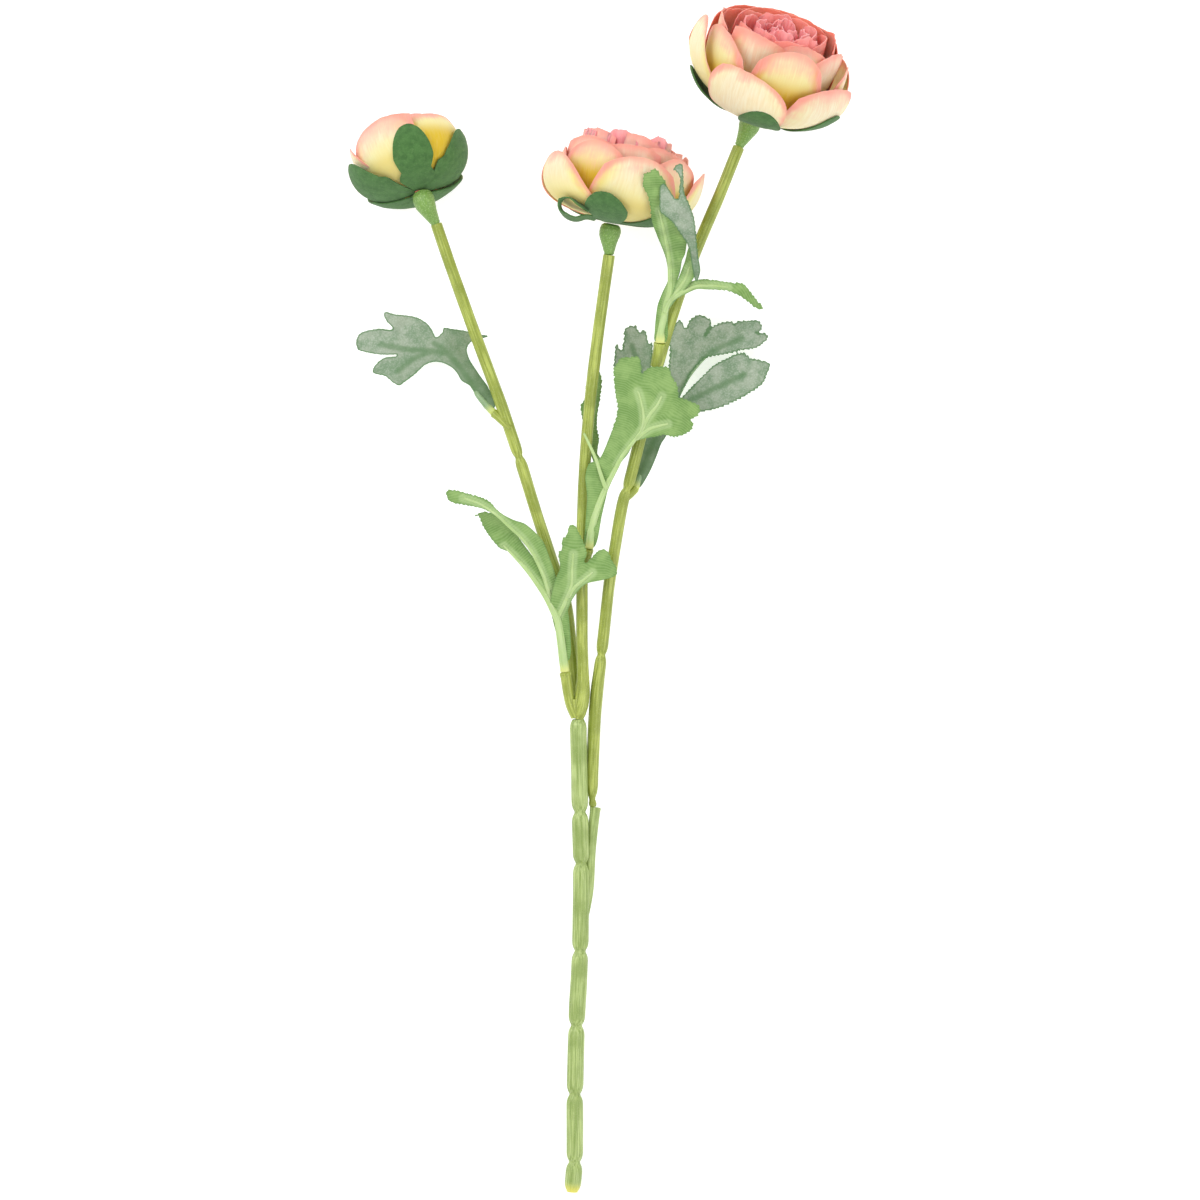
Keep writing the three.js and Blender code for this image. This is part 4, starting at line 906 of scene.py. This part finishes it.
def evenly(count, first):
    return [first + 360 * i / count for i in range(count)]


OUTER = {"base": (2, 1.2), "belly": (39, 1.5), "rim": (32, 29), "half": 20, "tuck": 1.2, "ruffle": 0.25}
SECOND = {"base": (2, 2.4), "belly": (33, 4), "rim": (27, 38), "half": 16, "tuck": 1.2, "ruffle": 0.35}
THIRD = {"base": (2, 3.6), "belly": (27, 8), "rim": (23, 41), "half": 14, "ruffle": 0.5, "pleats": 0.12,
         "roundness": 0.4}
# back petals take the strongest flush, which paints the shade on their inner faces as well as their pink
BACK = {"half": 19, "roundness": 0.35, "dye_and_shade": (1.4, 0, 0.05)}
CRUMPLED = {"base": (2, 6), "belly": (17, 14), "rim": (14, 41), "half": 9, "ruffle": 1.1, "crumple": 2.2,
            "roundness": 0.5}
BUD_OUTER = {"base": (2, 1.2), "belly": (31, 5), "rim": (21.5, 31.5), "half": 19, "tuck": 1.2, "ruffle": 0.2,
             "roundness": 0.4}

# a sepal is one with its neighbours up to the share merge, below which the five make a cup
SEPAL = {"lift": 0.9, "tuck": 0.3, "roundness": 1.0, "foot": 0.9, "ruffle": 0, "merge": 0.03}

RIGHT_PETALS = [
    *whorl([-67, -12, 58, 128, 200], {**OUTER, "dye_and_shade": (0.3, 0.4, 0)}, {
        -67: {"azimuth": -71, "half": 15.5, "belly": (42, 8), "rim": (31.8, 39.5), "roundness": 1.4,
              "tuck": -1, "dye_and_shade": (0.25, 0.7, 0)},
        -12: {"half": 18, "rim": (33, 27.6), "roundness": 0.9, "widest": 0.76, "foot": 0.15, "slant": -0.04,
              "dye_and_shade": (0.3, 0.15, 0)},
        58: {"half": 22, "rim": (31, 25.5), "widest": 0.6, "dye_and_shade": (0.7, 0.3, 0)},
    }),
    *whorl([-53, 17, 90], {**SECOND, "dye_and_shade": (0.5, 0.8, 0)}, {
        # -53 takes more gold, which also paints the golden shade where the petal at -71 covers its side
        -53: {"half": 20, "rim": (28, 38.5), "dye_and_shade": (0.5, 1.4, 0)},
        17: {"half": 17, "rim": (26.5, 39.5), "dye_and_shade": (0.6, 1.3, 0)},
        90: {"rim": (29.5, 31), "half": 14},
    }),
    *whorl([135, 182, 230], {**SECOND, **BACK, "rim": (25.5, 39)}, {135: {"rim": (24.5, 38)}}),
    *whorl([-78, -18, 34, 70], {**THIRD, "dye_and_shade": (0.65, 0.6, 0.05)}, {
        -78: {"rim": (25.5, 42)},
        -18: {"rim": (21.5, 40.8), "tuck": -3.5, "slant": -0.05},
        34: {"rim": (19, 39.5), "half": 11, "tuck": 3},
        70: {"rim": (24.5, 37.5), "half": 12},
    }),
    *whorl([115, 160, 205, 250], {**THIRD, **BACK, "half": 15, "rim": (23, 39.5)}),
    *whorl(evenly(5, 20), {**THIRD, "belly": (21, 12), "rim": (17.5, 40), "half": 13, "crumple": 0.8,
                           "dye_and_shade": (1.3, 0, 0.35)}),
    *whorl(evenly(5, 50), {**CRUMPLED, "dye_and_shade": (1.3, 0, 0.7)}),
    *whorl(evenly(4, 5), {**CRUMPLED, "belly": (12, 16), "rim": (9, 41), "half": 7.5, "dye_and_shade": (1.3, 0, 0.9)}),
    *whorl(evenly(3, 80), {**CRUMPLED, "belly": (7, 18), "rim": (4, 40), "half": 5, "dye_and_shade": (1.3, 0, 1.1)}),
]

MIDDLE_PETALS = [
    *whorl([-58, 14, 90, 155, 225], {**OUTER, "dye_and_shade": (0.5, 0.75, 0)}, {
        -58: {"half": 21, "rim": (32.5, 27.5), "roundness": 1},
        14: {"half": 19.5, "rim": (31.5, 31)},
        90: {"half": 17, "rim": (33, 31), "curl": 1.2},
    }),
    *whorl([-84, -27, 52, 110, 170, 230], {**SECOND, "dye_and_shade": (0.8, 1.1, 0)}, {
        -84: {"rim": (25, 31)},
        # -27 shows in the V between the front petals and takes more gold, which also paints the golden shade
        # there
        -27: {"half": 18, "rim": (27, 35.5), "roundness": 0.9, "widest": 0.6, "dye_and_shade": (0.8, 1.5, 0)},
        52: {"rim": (29.5, 34)},
        230: {"rim": (25.5, 31.5)},
    }),
    *whorl([-45, 8, 40, 80, 140, 200, 250], {**THIRD, "dye_and_shade": (0.9, 0.7, 0.05)}, {
        -45: {"rim": (22, 37.5), "tuck": -2},
        8: {"rim": (24, 36.6), "crumple": 0.5},
        40: {"rim": (23.5, 37.4), "tuck": 2, "crumple": 0.5},
        80: {"rim": (22.5, 38)},
        250: {"rim": (21, 37)},
    }),
    *whorl(evenly(6, 10), {**THIRD, "belly": (22, 12), "rim": (17.5, 42), "half": 13, "crumple": 1.1,
                           "dye_and_shade": (0.9, 0, 0.25)}),
    *whorl(evenly(6, 50), {**CRUMPLED, "belly": (19, 14), "rim": (17, 42.4), "dye_and_shade": (1.3, 0, 0.9)}),
    *whorl(evenly(4, 5), {**CRUMPLED, "belly": (10, 16), "rim": (6, 42), "half": 7, "dye_and_shade": (1.3, 0, 1.1)}),
]

BUD_PETALS = [
    *whorl([-27, 52, 120, 190, 250], {**BUD_OUTER, "dye_and_shade": (0.6, 0.8, 0)}, {
        -27: {"rim": (22, 32), "dye_and_shade": (1.0, 0.75, 0)},
        52: {"belly": (30, 5), "rim": (20.5, 31), "dye_and_shade": (0.3, 1.6, 0)},
        250: {"belly": (27, 8), "rim": (19, 30)},
    }),
    *whorl([-78], {**BUD_OUTER, "half": 10, "rim": (24, 29), "belly": (27, 9), "roundness": 1,
                   "dye_and_shade": (0.5, 0.3, 0)}),
    *whorl(evenly(5, -60), {**BUD_OUTER, "belly": (28, 8), "rim": (18, 32), "half": 15,
                            "dye_and_shade": (1, 0.3, 0.2)}),
    *whorl(evenly(4, 10), {**BUD_OUTER, "belly": (22, 12), "rim": (10, 34), "half": 12, "ruffle": 0.8,
                           "dye_and_shade": (1.2, 0, 0.6)}),
]

# turn is how far a head's axis leans to the right of +Y and tilt how far it rises, in degrees. size and
# stretch scale the head across and along that axis, and cone_shift moves the cone below it to a side.
HEADS = {
    "right_bloom": {
        "origin": (66, 203, 25), "turn": 16, "tilt": 22, "size": 1.05, "stretch": 1,
        "stem_end": (58.4, 190.6, 20.0), "cone_shift": -2.1,
        "petals": RIGHT_PETALS,
        "sepals": whorl([-78, 3, 66, 135, 205], {
            **OUTER, **SEPAL, "half": 10.5, "reach": 0.68, "lift": 1.3,
        }, {
            -78: {"half": 11, "belly": (36.5, 2.5), "rim": (31, 31)},
            3: {"reach": 0.67, "half": 9.5},
        }),
    },
    "middle_bloom": {
        "origin": (5, 157.6, 33.6), "turn": 11, "tilt": 0, "size": 1, "stretch": 0.88,
        "stem_end": (3.8, 144.2, 33.6), "cone_shift": 0,
        "petals": MIDDLE_PETALS,
        "sepals": whorl([-4, 62, 140, 215], {**OUTER, **SEPAL, "half": 10, "reach": 0.6}, {
            -4: {"reach": 0.64, "lean": -8, "lift": 2.4},
        }),
        "curled_sepal": [(-1.5, 158.7, 45), (-5.7, 159.4, 46), (-10.2, 158.6, 45), (-13.5, 159.7, 45),
                         (-15.9, 162.4, 46), (-16.2, 165, 48), (-14.4, 166.9, 51), (-11.6, 166.6, 54),
                         (-8.4, 164, 56), (-4.6, 161.5, 56)],
    },
    "left_bud": {
        "origin": (-75.8, 170.6, 29), "turn": -16, "tilt": -22, "size": 0.97, "stretch": 0.87,
        "stem_end": (-68.6, 157.4, 28), "cone_shift": 1.2,
        "petals": BUD_PETALS,
        "sepals": whorl([-72, 3, 76, 148, 220], {
            **BUD_OUTER, **SEPAL, "lift": 1.5, "half": 10.8, "reach": 0.82, "merge": 0.36,
        }, {
            -72: {"reach": 0.86, "belly": (30, 3), "rim": (25, 25)},
            3: {"half": 9, "reach": 0.83, "azimuth": 6, "merge": 0.2},
            148: {"reach": 0.7, "lift": 3.6},
            220: {"reach": 0.7, "lift": 3.6},
        }),
    },
}


def head_matrix(head):
    """From a head's own frame to the spray's: x to the right, y towards the surface and z along its axis."""
    turn, tilt = math.radians(head["turn"]), math.radians(head["tilt"])
    axis = Vector((math.sin(turn) * math.cos(tilt), math.cos(turn) * math.cos(tilt), math.sin(tilt)))
    right = axis.cross(UP).normalized()
    back = axis.cross(right)
    turned = Matrix((right * head["size"], back * head["size"], axis * head["stretch"])).transposed()
    return Matrix.Translation(head["origin"]) @ turned.to_4x4()


def head_sheet(name, matrix, petal, thickness):
    """One petal or sepal, kept above the surface that the spray lies on."""

    def place(u, v):
        point, *facts = petal_place(petal, u, v)
        placed = matrix @ Vector(point)
        placed.z = max(placed.z, SURFACE_GAP + thickness / 2)
        return placed, *facts

    return shaped_grid(name, PETAL_CELLS, PETAL_CELLS, place, ["cloth", "margin", "dye_and_shade"])


def curled_sheet(name, points):
    """A sepal that is bent back on itself into a loop along a path."""
    path = Path(points)

    def place(u, v):
        length = v * path.total
        _, across, above = path.directions(length)
        half = CURLED_SEPAL_HALF * math.sin(math.pi * (0.16 + 0.8 * v)) ** 0.6
        point = path.at(length) + above * half * u + across * 0.7 * u
        return point, (u * half, length, 0), (abs(u), v, u), (0, 0, 0)

    return shaped_grid(name, 10, 60, place, ["cloth", "margin", "dye_and_shade"])


def finish_head(sheets, name, thickness):
    """The petals or sepals of a head as one piece with the thickness of its cloth or felt."""
    piece = join(sheets, name)
    apply(piece, "SOLIDIFY", thickness=thickness * MM, offset=0.0)
    soften(piece)
    return piece


def make_whorls(name, head, petals, thickness):
    """The sheets of a head's petals or sepals, each with a seed of its own."""
    matrix = head_matrix(head)
    return [head_sheet(name, matrix, {**petal, "seed": 1.7 * number + len(name)}, thickness)
            for number, petal in enumerate(petals)]


def make_petals(name, head):
    return finish_head(make_whorls(name, head, head["petals"], PETAL_CLOTH), name, PETAL_CLOTH)


def make_calyx(name, head):
    sheets = make_whorls(name, head, head["sepals"], CALYX_FELT)
    if "curled_sepal" in head:
        sheets.append(curled_sheet(name, head["curled_sepal"]))
    return finish_head(sheets, name, CALYX_FELT)


def knobs(angle, length, radius):
    """Rounded knobs about 0.7 mm apart on the skin of a cone."""
    spot = Vector((radius * math.cos(angle), radius * math.sin(angle), length)) * 1.5
    return 0.25 * (0.6 - noise.voronoi(spot)[0][0])


# from the stem's end to the calyx: the share of the way and the radius
CONE = [(0, 1.6), (0.03, 2.0), (0.1, 2.15), (0.35, 3.1), (0.62, 4.3), (0.8, 4.5), (0.93, 4.0), (1, 3.0)]


def make_receptacle(name, head):
    """The knobbly cone between the stem's end and the calyx."""
    matrix = head_matrix(head)
    near, far = [matrix @ Vector((head["cone_shift"], 0, below)) for below in (-6, -0.6)]
    foot = Vector(head["stem_end"])
    foot += (near - foot).normalized() * SEAT_GAP
    path = Path([foot, near, far])
    profile = [(share * path.total, radius) for share, radius in CONE]
    cone = bar(name, path, profile, CONE_SIDES, step=CONE_RING_STEP, relief=knobs)
    soften(cone)
    return cone


# ---------- materials ----------


def linear(code):
    """An sRGB hex colour as linear red, green, blue and alpha."""
    parts = [int(code[i:i + 2], 16) / 255 for i in (1, 3, 5)]
    return (*[p / 12.92 if p <= 0.04045 else ((p + 0.055) / 1.055) ** 2.4 for p in parts], 1)


def add(material, kind, links, **settings):
    """Adds a shader node with its settings and its inputs.

    links gives each input as a node, whose first output it takes, an output, a hex colour or a plain value.
    """
    node = material.node_tree.nodes.new("ShaderNode" + kind)
    for setting, value in settings.items():
        setattr(node, setting, value)
    for socket, value in links.items():
        if isinstance(value, bpy.types.Node):
            value = value.outputs[0]
        if isinstance(value, bpy.types.NodeSocket):
            material.node_tree.links.new(value, node.inputs[socket])
        else:
            node.inputs[socket].default_value = linear(value) if isinstance(value, str) else value
    return node


def paint(material, under, over, value, start, full, most=1.0):
    """Lays one colour over another: none of it where value is start and its most where value is full."""
    share = add(material, "MapRange", {0: value, 1: start, 2: full, 4: most}, interpolation_type="SMOOTHSTEP")
    return add(material, "Mix", {0: share, 6: under, 7: over}, data_type="RGBA").outputs[2]


def stored_on(material, attribute):
    """The three values that an attribute of the mesh holds."""
    stored = add(material, "Attribute", {}, attribute_name=attribute).outputs["Vector"]
    return add(material, "SeparateXYZ", {0: stored}).outputs


def new_material(name):
    material = bpy.data.materials.new(name)
    material.use_nodes = True
    material.node_tree.nodes.clear()
    return material


def finish_material(material, colour, height, strength, depth, **surface):
    """The surface shader with its colour, a relief and its plain values, which are set on its own sockets."""
    relief = add(material, "Bump", {"Height": height, "Strength": strength, "Distance": depth * MM})
    shader = add(material, "BsdfPrincipled", {"Base Color": colour, "Normal": relief})
    for socket, value in surface.items():
        shader.inputs[socket.replace("_", " ")].default_value = value
    add(material, "OutputMaterial", {"Surface": shader})
    return material


def gold_base_and_shade(m, streaks, share, across, gold):
    """Cream cloth with gold at its base, part dye and part painted golden shade, and painted golden shade
    where a neighbour lies over a side, as far as gold says.
    """
    body = paint(m, "#F3E3C3", "#EDD5A8", streaks, 0.3, 0.7)
    # painted golden shade near the sides and below the rim, where a neighbour lies over the petal
    side = add(m, "Math", {0: across}, operation="ABSOLUTE")
    beside = add(m, "MapRange", {0: side, 1: 0.3, 2: 0.85}, interpolation_type="SMOOTHSTEP")
    below = add(m, "MapRange", {0: share, 1: 1.06, 2: 0.86}, interpolation_type="SMOOTHSTEP")
    overlap_shade = add(m, "Math", {0: beside, 1: below}, operation="MULTIPLY")
    # gold at the base: yellow dye, which also paints the golden shade deep between the petals
    start = add(m, "Math", {0: gold, 1: 0.26, 2: 0.72}, operation="MULTIPLY_ADD")
    full = add(m, "Math", {0: gold, 1: 0.26, 2: 0.27}, operation="MULTIPLY_ADD")
    depth = add(m, "MapRange", {0: share, 1: start, 2: full}, interpolation_type="SMOOTHSTEP")
    most = add(m, "Math", {0: gold, 1: 1.0}, operation="MINIMUM")
    either = add(m, "Math", {0: depth, 1: overlap_shade}, operation="MAXIMUM")
    golden = add(m, "Math", {0: either, 1: most}, operation="MULTIPLY")
    # the deepest gold, #E0B81C, is partly dye and partly painted shade between the petals
    yellow = paint(m, "#F0DF7C", "#E0B81C", golden, 0.5, 1.0)
    return add(m, "Mix", {0: golden, 6: body, 7: yellow}, data_type="RGBA").outputs[2]


def pink_flush(m, under, edge, flush, clouds, streaks):
    """Pink dye that runs in from the margin unevenly, further and stronger the more flush says. At its
    strongest it also paints the shade that the back petals stand in.
    """
    clouded = add(m, "Math", {0: clouds, 1: 0.35, 2: edge}, operation="MULTIPLY_ADD")
    uneven = add(m, "Math", {0: streaks, 1: 0.25, 2: clouded}, operation="MULTIPLY_ADD")
    start = add(m, "Math", {0: flush, 1: -0.5, 2: 1.3}, operation="MULTIPLY_ADD")
    wash = add(m, "MapRange", {0: uneven, 1: start, 2: 1.4}, interpolation_type="SMOOTHSTEP")
    # the strongest flush turns salmon, #EC7258, which on the back petals is painted shade as well as pink
    pink = paint(m, "#F4A898", "#EC7258", flush, 0.95, 1.3)
    return add(m, "Mix", {0: wash, 6: under, 7: pink}, data_type="RGBA").outputs[2]


def silk_cloth():
    """Printed polyester silk: matte, thin enough to glow, cream with a gold base and a pink margin. Its gold
    and its crimson also paint the shade between the petals and deep inside the opening.
    """
    m = new_material("printed_polyester_silk")
    cloth = add(m, "Attribute", {}, attribute_name="cloth").outputs["Vector"]
    edge, share, across = stored_on(m, "margin")
    flush, gold, deep = stored_on(m, "dye_and_shade")
    # streaks of dye run along the petal, about 0.7 mm apart, through clouds of it about 8 mm across
    stretched = add(m, "VectorMath", {0: cloth, 1: (1.4, 0.09, 1)}, operation="MULTIPLY")
    streaks = add(m, "TexNoise", {"Vector": stretched, "Scale": 1.0, "Detail": 3.0, "Roughness": 0.6})
    clouds = add(m, "TexNoise", {"Vector": cloth, "Scale": 0.12, "Detail": 2.0})
    colour = gold_base_and_shade(m, streaks, share, across, gold)
    colour = pink_flush(m, colour, edge, flush, clouds, streaks)
    colour = paint(m, colour, "#EE8577", edge, 0.9, 1.0, 0.5)
    # deep pink that turns crimson towards the base: dye, and painted shade in the gaps deep in the opening
    crimson = paint(m, "#E21248", "#FFA4A8", share, 0.72, 1.02)
    colour = add(m, "Mix", {0: deep, 6: colour, 7: crimson}, data_type="RGBA").outputs[2]
    colour = paint(m, colour, "#FFF6EC", streaks, 0.35, 0.75, 0.07)
    # plain weave, 0.11 mm from thread to thread, which is too fine to see and only dulls the cloth
    woven = streaks
    for way in ("X", "Y"):
        threads = add(m, "TexWave", {"Vector": cloth, "Scale": 2.8, "Distortion": 0.6}, bands_direction=way)
        woven = add(m, "Math", {0: threads.outputs["Fac"], 1: 0.12, 2: woven}, operation="MULTIPLY_ADD")
    return finish_material(m, colour, woven, 0.35, 0.12, Roughness=0.75, Subsurface_Weight=0.5,
                           Subsurface_Scale=0.0015, Subsurface_Radius=(1.0, 0.8, 0.6), Sheen_Weight=0.1,
                           Sheen_Roughness=0.5)


def calyx_felt():
    """Pressed polyester felt: dull, dark green, mottled by its fibres."""
    m = new_material("pressed_polyester_felt")
    place = add(m, "TexCoord", {}).outputs["Object"]
    # fibres about 0.7 mm long, coarser than the real ones so that they show, in tufts about 2.4 mm across
    fibres = add(m, "TexNoise", {"Vector": place, "Scale": 1500.0, "Detail": 5.0, "Roughness": 0.7})
    tufts = add(m, "TexNoise", {"Vector": place, "Scale": 420.0, "Detail": 3.0})
    colour = paint(m, "#3B652E", "#4A763A", tufts, 0.3, 0.7)
    colour = paint(m, colour, "#789A62", fibres, 0.5, 0.8, 0.45)
    return finish_material(m, colour, fibres, 0.6, 0.3, Roughness=0.95, Sheen_Weight=0.08,
                           Sheen_Roughness=0.6)


def leaf_ribbing(m, from_rib, from_stalk):
    """Woven ribs 0.8 mm apart, drawn 0.95 mm apart so that they show, in arcs about the stalk."""
    arcs = add(m, "Math", {0: from_rib, 1: -0.35, 2: from_stalk}, operation="MULTIPLY_ADD")
    across = add(m, "CombineXYZ", {0: arcs, 1: from_rib})
    ribs = add(m, "TexWave", {"Vector": across, "Scale": 0.33, "Distortion": 1.6, "Detail": 1.0,
                              "Detail Scale": 1.2}, bands_direction="X")
    return ribs.outputs["Fac"]


def leaf_top(name):
    """Pressed polyester leaf cloth from above: green with fine woven ribs, paler along the moulded ones."""
    m = new_material(name)
    place = add(m, "TexCoord", {}).outputs["Object"]
    from_edge, from_rib, from_stalk = stored_on(m, "cut")
    # clouds of dye about 6 mm across
    clouds = add(m, "TexNoise", {"Vector": place, "Scale": 160.0, "Detail": 4.0, "Roughness": 0.6})
    ribs = leaf_ribbing(m, from_rib, from_stalk)
    colour = paint(m, "#6B9048", "#86A75F", clouds, 0.35, 0.65)
    colour = paint(m, colour, "#98B873", ribs, 0.1, 0.9, 0.36)
    colour = paint(m, colour, "#C2D8A0", from_rib, 2.6, 1.2, 0.35)
    colour = paint(m, colour, "#5A8444", from_edge, 0.75, 0.15, 0.35)
    return finish_material(m, colour, ribs, 0.5, 0.15, Roughness=0.8, Sheen_Weight=0.1, Sheen_Roughness=0.4)


def leaf_back(name, light, dark, edge):
    """The same cloth from below: greyer and plain, greener by the stalk and the cut edge, and greener and
    darker along the ribs as painted shade in the creases there.
    """
    m = new_material(name)
    place = add(m, "TexCoord", {}).outputs["Object"]
    from_edge, from_rib, from_stalk = stored_on(m, "cut")
    # clouds of dye about 6 mm across and a fibrous grain of 0.7 mm
    clouds = add(m, "TexNoise", {"Vector": place, "Scale": 160.0, "Detail": 4.0, "Roughness": 0.6})
    grain = add(m, "TexNoise", {"Vector": place, "Scale": 1500.0, "Detail": 3.0})
    colour = paint(m, dark, light, clouds, 0.35, 0.65)
    colour = paint(m, colour, "#D3DBCD", grain, 0.4, 0.75, 0.3)
    # painted shade: darker green along the ribs, standing for the shade in the creases there
    colour = paint(m, colour, edge, from_rib, 2.0, 0.3, 0.6)
    colour = paint(m, colour, "#56764A", from_stalk, 58, 8, 0.72)
    colour = paint(m, colour, edge, from_edge, 0.75, 0.15, 0.85)
    return finish_material(m, colour, grain, 0.5, 0.15, Roughness=0.8, Sheen_Weight=0.1, Sheen_Roughness=0.4)


# a waxy plastic that lets a little light in
POLYETHYLENE = {"IOR": 1.5, "Subsurface_Weight": 0.12, "Subsurface_Scale": 0.002,
                "Subsurface_Radius": (0.8, 1.0, 0.3)}


def moulded_plastic(name, light, dark, end=None):
    """Moulded polyethylene: satin, streaked lengthwise with painted highlights along its ridges and painted
    shade in the grooves between them.

    end is the colour that shows over the first 5 mm, where the paint is thin.
    """
    m = new_material(name)
    straight = add(m, "Attribute", {}, attribute_name="straight").outputs["Vector"]
    # streaks 0.6 mm wide and 18 mm long, blotches of 11 mm and pits of 0.4 mm
    drawn = add(m, "VectorMath", {0: straight, 1: (1.3, 1.3, 0.045)}, operation="MULTIPLY")
    streaks = add(m, "TexNoise", {"Vector": drawn, "Scale": 1.2, "Detail": 4.0, "Roughness": 0.6})
    blotches = add(m, "TexNoise", {"Vector": straight, "Scale": 0.09, "Detail": 2.0})
    pits = add(m, "TexNoise", {"Vector": straight, "Scale": 2.4, "Detail": 2.0})
    # painted highlights and painted shade: light streaks stand for lit ridges and dark ones for the grooves
    colour = paint(m, dark, light, streaks, 0.35, 0.65)
    colour = paint(m, colour, dark, blotches, 0.4, 0.65, 0.7)
    colour = paint(m, colour, "#D6DDA6", pits, 0.5, 0.75, 0.2)
    if end:
        colour = paint(m, colour, end, stored_on(m, "straight")[2], 5, 0)
    height = add(m, "Math", {0: pits, 1: 0.25, 2: streaks}, operation="MULTIPLY_ADD")
    return finish_material(m, colour, height, 0.5, 0.3, Roughness=0.42, **POLYETHYLENE)


def knobbly_plastic():
    """Moulded polyethylene with a knobbed skin, paler on the knobs."""
    m = new_material("knobbed_polyethylene")
    straight = add(m, "Attribute", {}, attribute_name="straight").outputs["Vector"]
    # knobs about 0.7 mm apart and a grain of 0.5 mm
    from_knob = add(m, "TexVoronoi", {"Vector": straight, "Scale": 1.5})
    grain = add(m, "TexNoise", {"Vector": straight, "Scale": 2.2, "Detail": 3.0})
    colour = paint(m, "#97B870", "#72974A", from_knob, 0.1, 0.6)
    colour = paint(m, colour, "#7DA645", grain, 0.4, 0.65, 0.6)
    return finish_material(m, colour, grain, 0.6, 0.4, Roughness=0.4, **POLYETHYLENE)


def floor_paper():
    """Matte white background paper, lit through so that shadows on it stay faint."""
    m = new_material("white_background_paper")
    place = add(m, "TexCoord", {}).outputs["Object"]
    grain = add(m, "TexNoise", {"Vector": place, "Scale": 900.0, "Detail": 2.0})
    colour = paint(m, "#CFCFCF", "#D4D4D4", grain, 0.3, 0.7)
    return finish_material(m, colour, grain, 0.05, 0.1, Roughness=0.9, Emission_Color=(1, 1, 1, 1),
                           Emission_Strength=0.6)


# ---------- the object ----------

SILK = silk_cloth()
FELT = calyx_felt()
UPPER_CLOTH = leaf_top("ribbed_leaf_cloth")
UNDER_CLOTH = leaf_back("grey_leaf_underside", "#9AA792", "#758E70", "#4F7747")
CUT_EDGE = leaf_back("cut_leaf_edge", "#6E9A5A", "#4E7F4B", "#4E7F4B")
RIB_PLASTIC = moulded_plastic("pale_moulded_polyethylene", "#BDD395", "#A3C079", "#D6DB84")
GREY_RIB_PLASTIC = moulded_plastic("grey_moulded_polyethylene", "#94AF86", "#76966C", "#D0DA7E")
MAIN_PLASTIC = moulded_plastic("main_stem_polyethylene", "#B6C880", "#839A4C", "#DED862")
BRANCH_PLASTIC = moulded_plastic("branch_polyethylene", "#B5C15C", "#84922F")
KNOBBED = knobbly_plastic()


def hand_over(piece, node, slot, *materials):
    """A finished piece: its materials, the CAD node that it stands for and the body that it rides on."""
    for material in materials:
        piece.data.materials.append(material)
    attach(piece, "root")
    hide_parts(node)


for seed, (node, parts) in enumerate(STEMS.items()):
    stem = make_stem(node + "_moulding", parts, seed)
    soften(stem)
    plastic = MAIN_PLASTIC if node == "main_stem" else BRANCH_PLASTIC
    hand_over(stem, node, "stem_plastic", plastic)

for node, leaf in LEAVES.items():
    blade = make_blade(node + "_cloth", leaf, (UPPER_CLOTH, UNDER_CLOTH, CUT_EDGE))
    hand_over(blade, node, "leaf_cloth")
    ribs = make_stalk(node + "_ribs", leaf)
    soften(ribs)
    plastic = RIB_PLASTIC if leaf["upper_side"] > 0 else GREY_RIB_PLASTIC
    hand_over(ribs, node + "_stalk", "leaf_rib_plastic", plastic)

for node, head in HEADS.items():
    hand_over(make_petals(node + "_silk", head), node + "_petals", "petal_cloth", SILK)
    hand_over(make_calyx(node + "_felt", head), node + "_calyx", "calyx_felt", FELT)
    hand_over(make_receptacle(node + "_cone", head), node + "_receptacle", "receptacle_plastic", KNOBBED)


# ---------- floor, light and camera ----------

CAMERA_HEIGHT = 2.82  # metres, as are the other lengths in this section
AIM = (0, 0.1, 0)

deselect()
bpy.ops.mesh.primitive_plane_add(size=6)
floor = bpy.context.object
floor.name = "floor"
floor.data.materials.append(floor_paper())

world = bpy.data.worlds.new("studio")
bpy.context.scene.world = world
world.use_nodes = True
world.node_tree.nodes["Background"].inputs["Color"].default_value = (1, 1, 1, 1)
world.node_tree.nodes["Background"].inputs["Strength"].default_value = 0.8


def soft_box(name, place, size, power):
    """A large square lamp that faces the spray."""
    lamp = bpy.data.lights.new(name, "AREA")
    lamp.shape = "SQUARE"
    lamp.size = size
    lamp.energy = power
    holder = bpy.data.objects.new(name, lamp)
    holder.location = place
    holder.rotation_euler = (Vector(AIM) - Vector(place)).to_track_quat("-Z", "Y").to_euler()
    bpy.context.collection.objects.link(holder)


soft_box("key_softbox", (-1.1, 0.9, 1.6), 1.4, 20)
soft_box("fill_softbox", (1.3, -0.5, 1.5), 1.6, 12)

lens = bpy.data.cameras.new("camera")
lens.lens = 200
lens.sensor_width = 36
lens.clip_end = 20
camera = bpy.data.objects.new("camera", lens)
camera.location = (0, 0, CAMERA_HEIGHT)
bpy.context.collection.objects.link(camera)
bpy.context.scene.camera = camera
bpy.context.scene.view_settings.view_transform = "Standard"
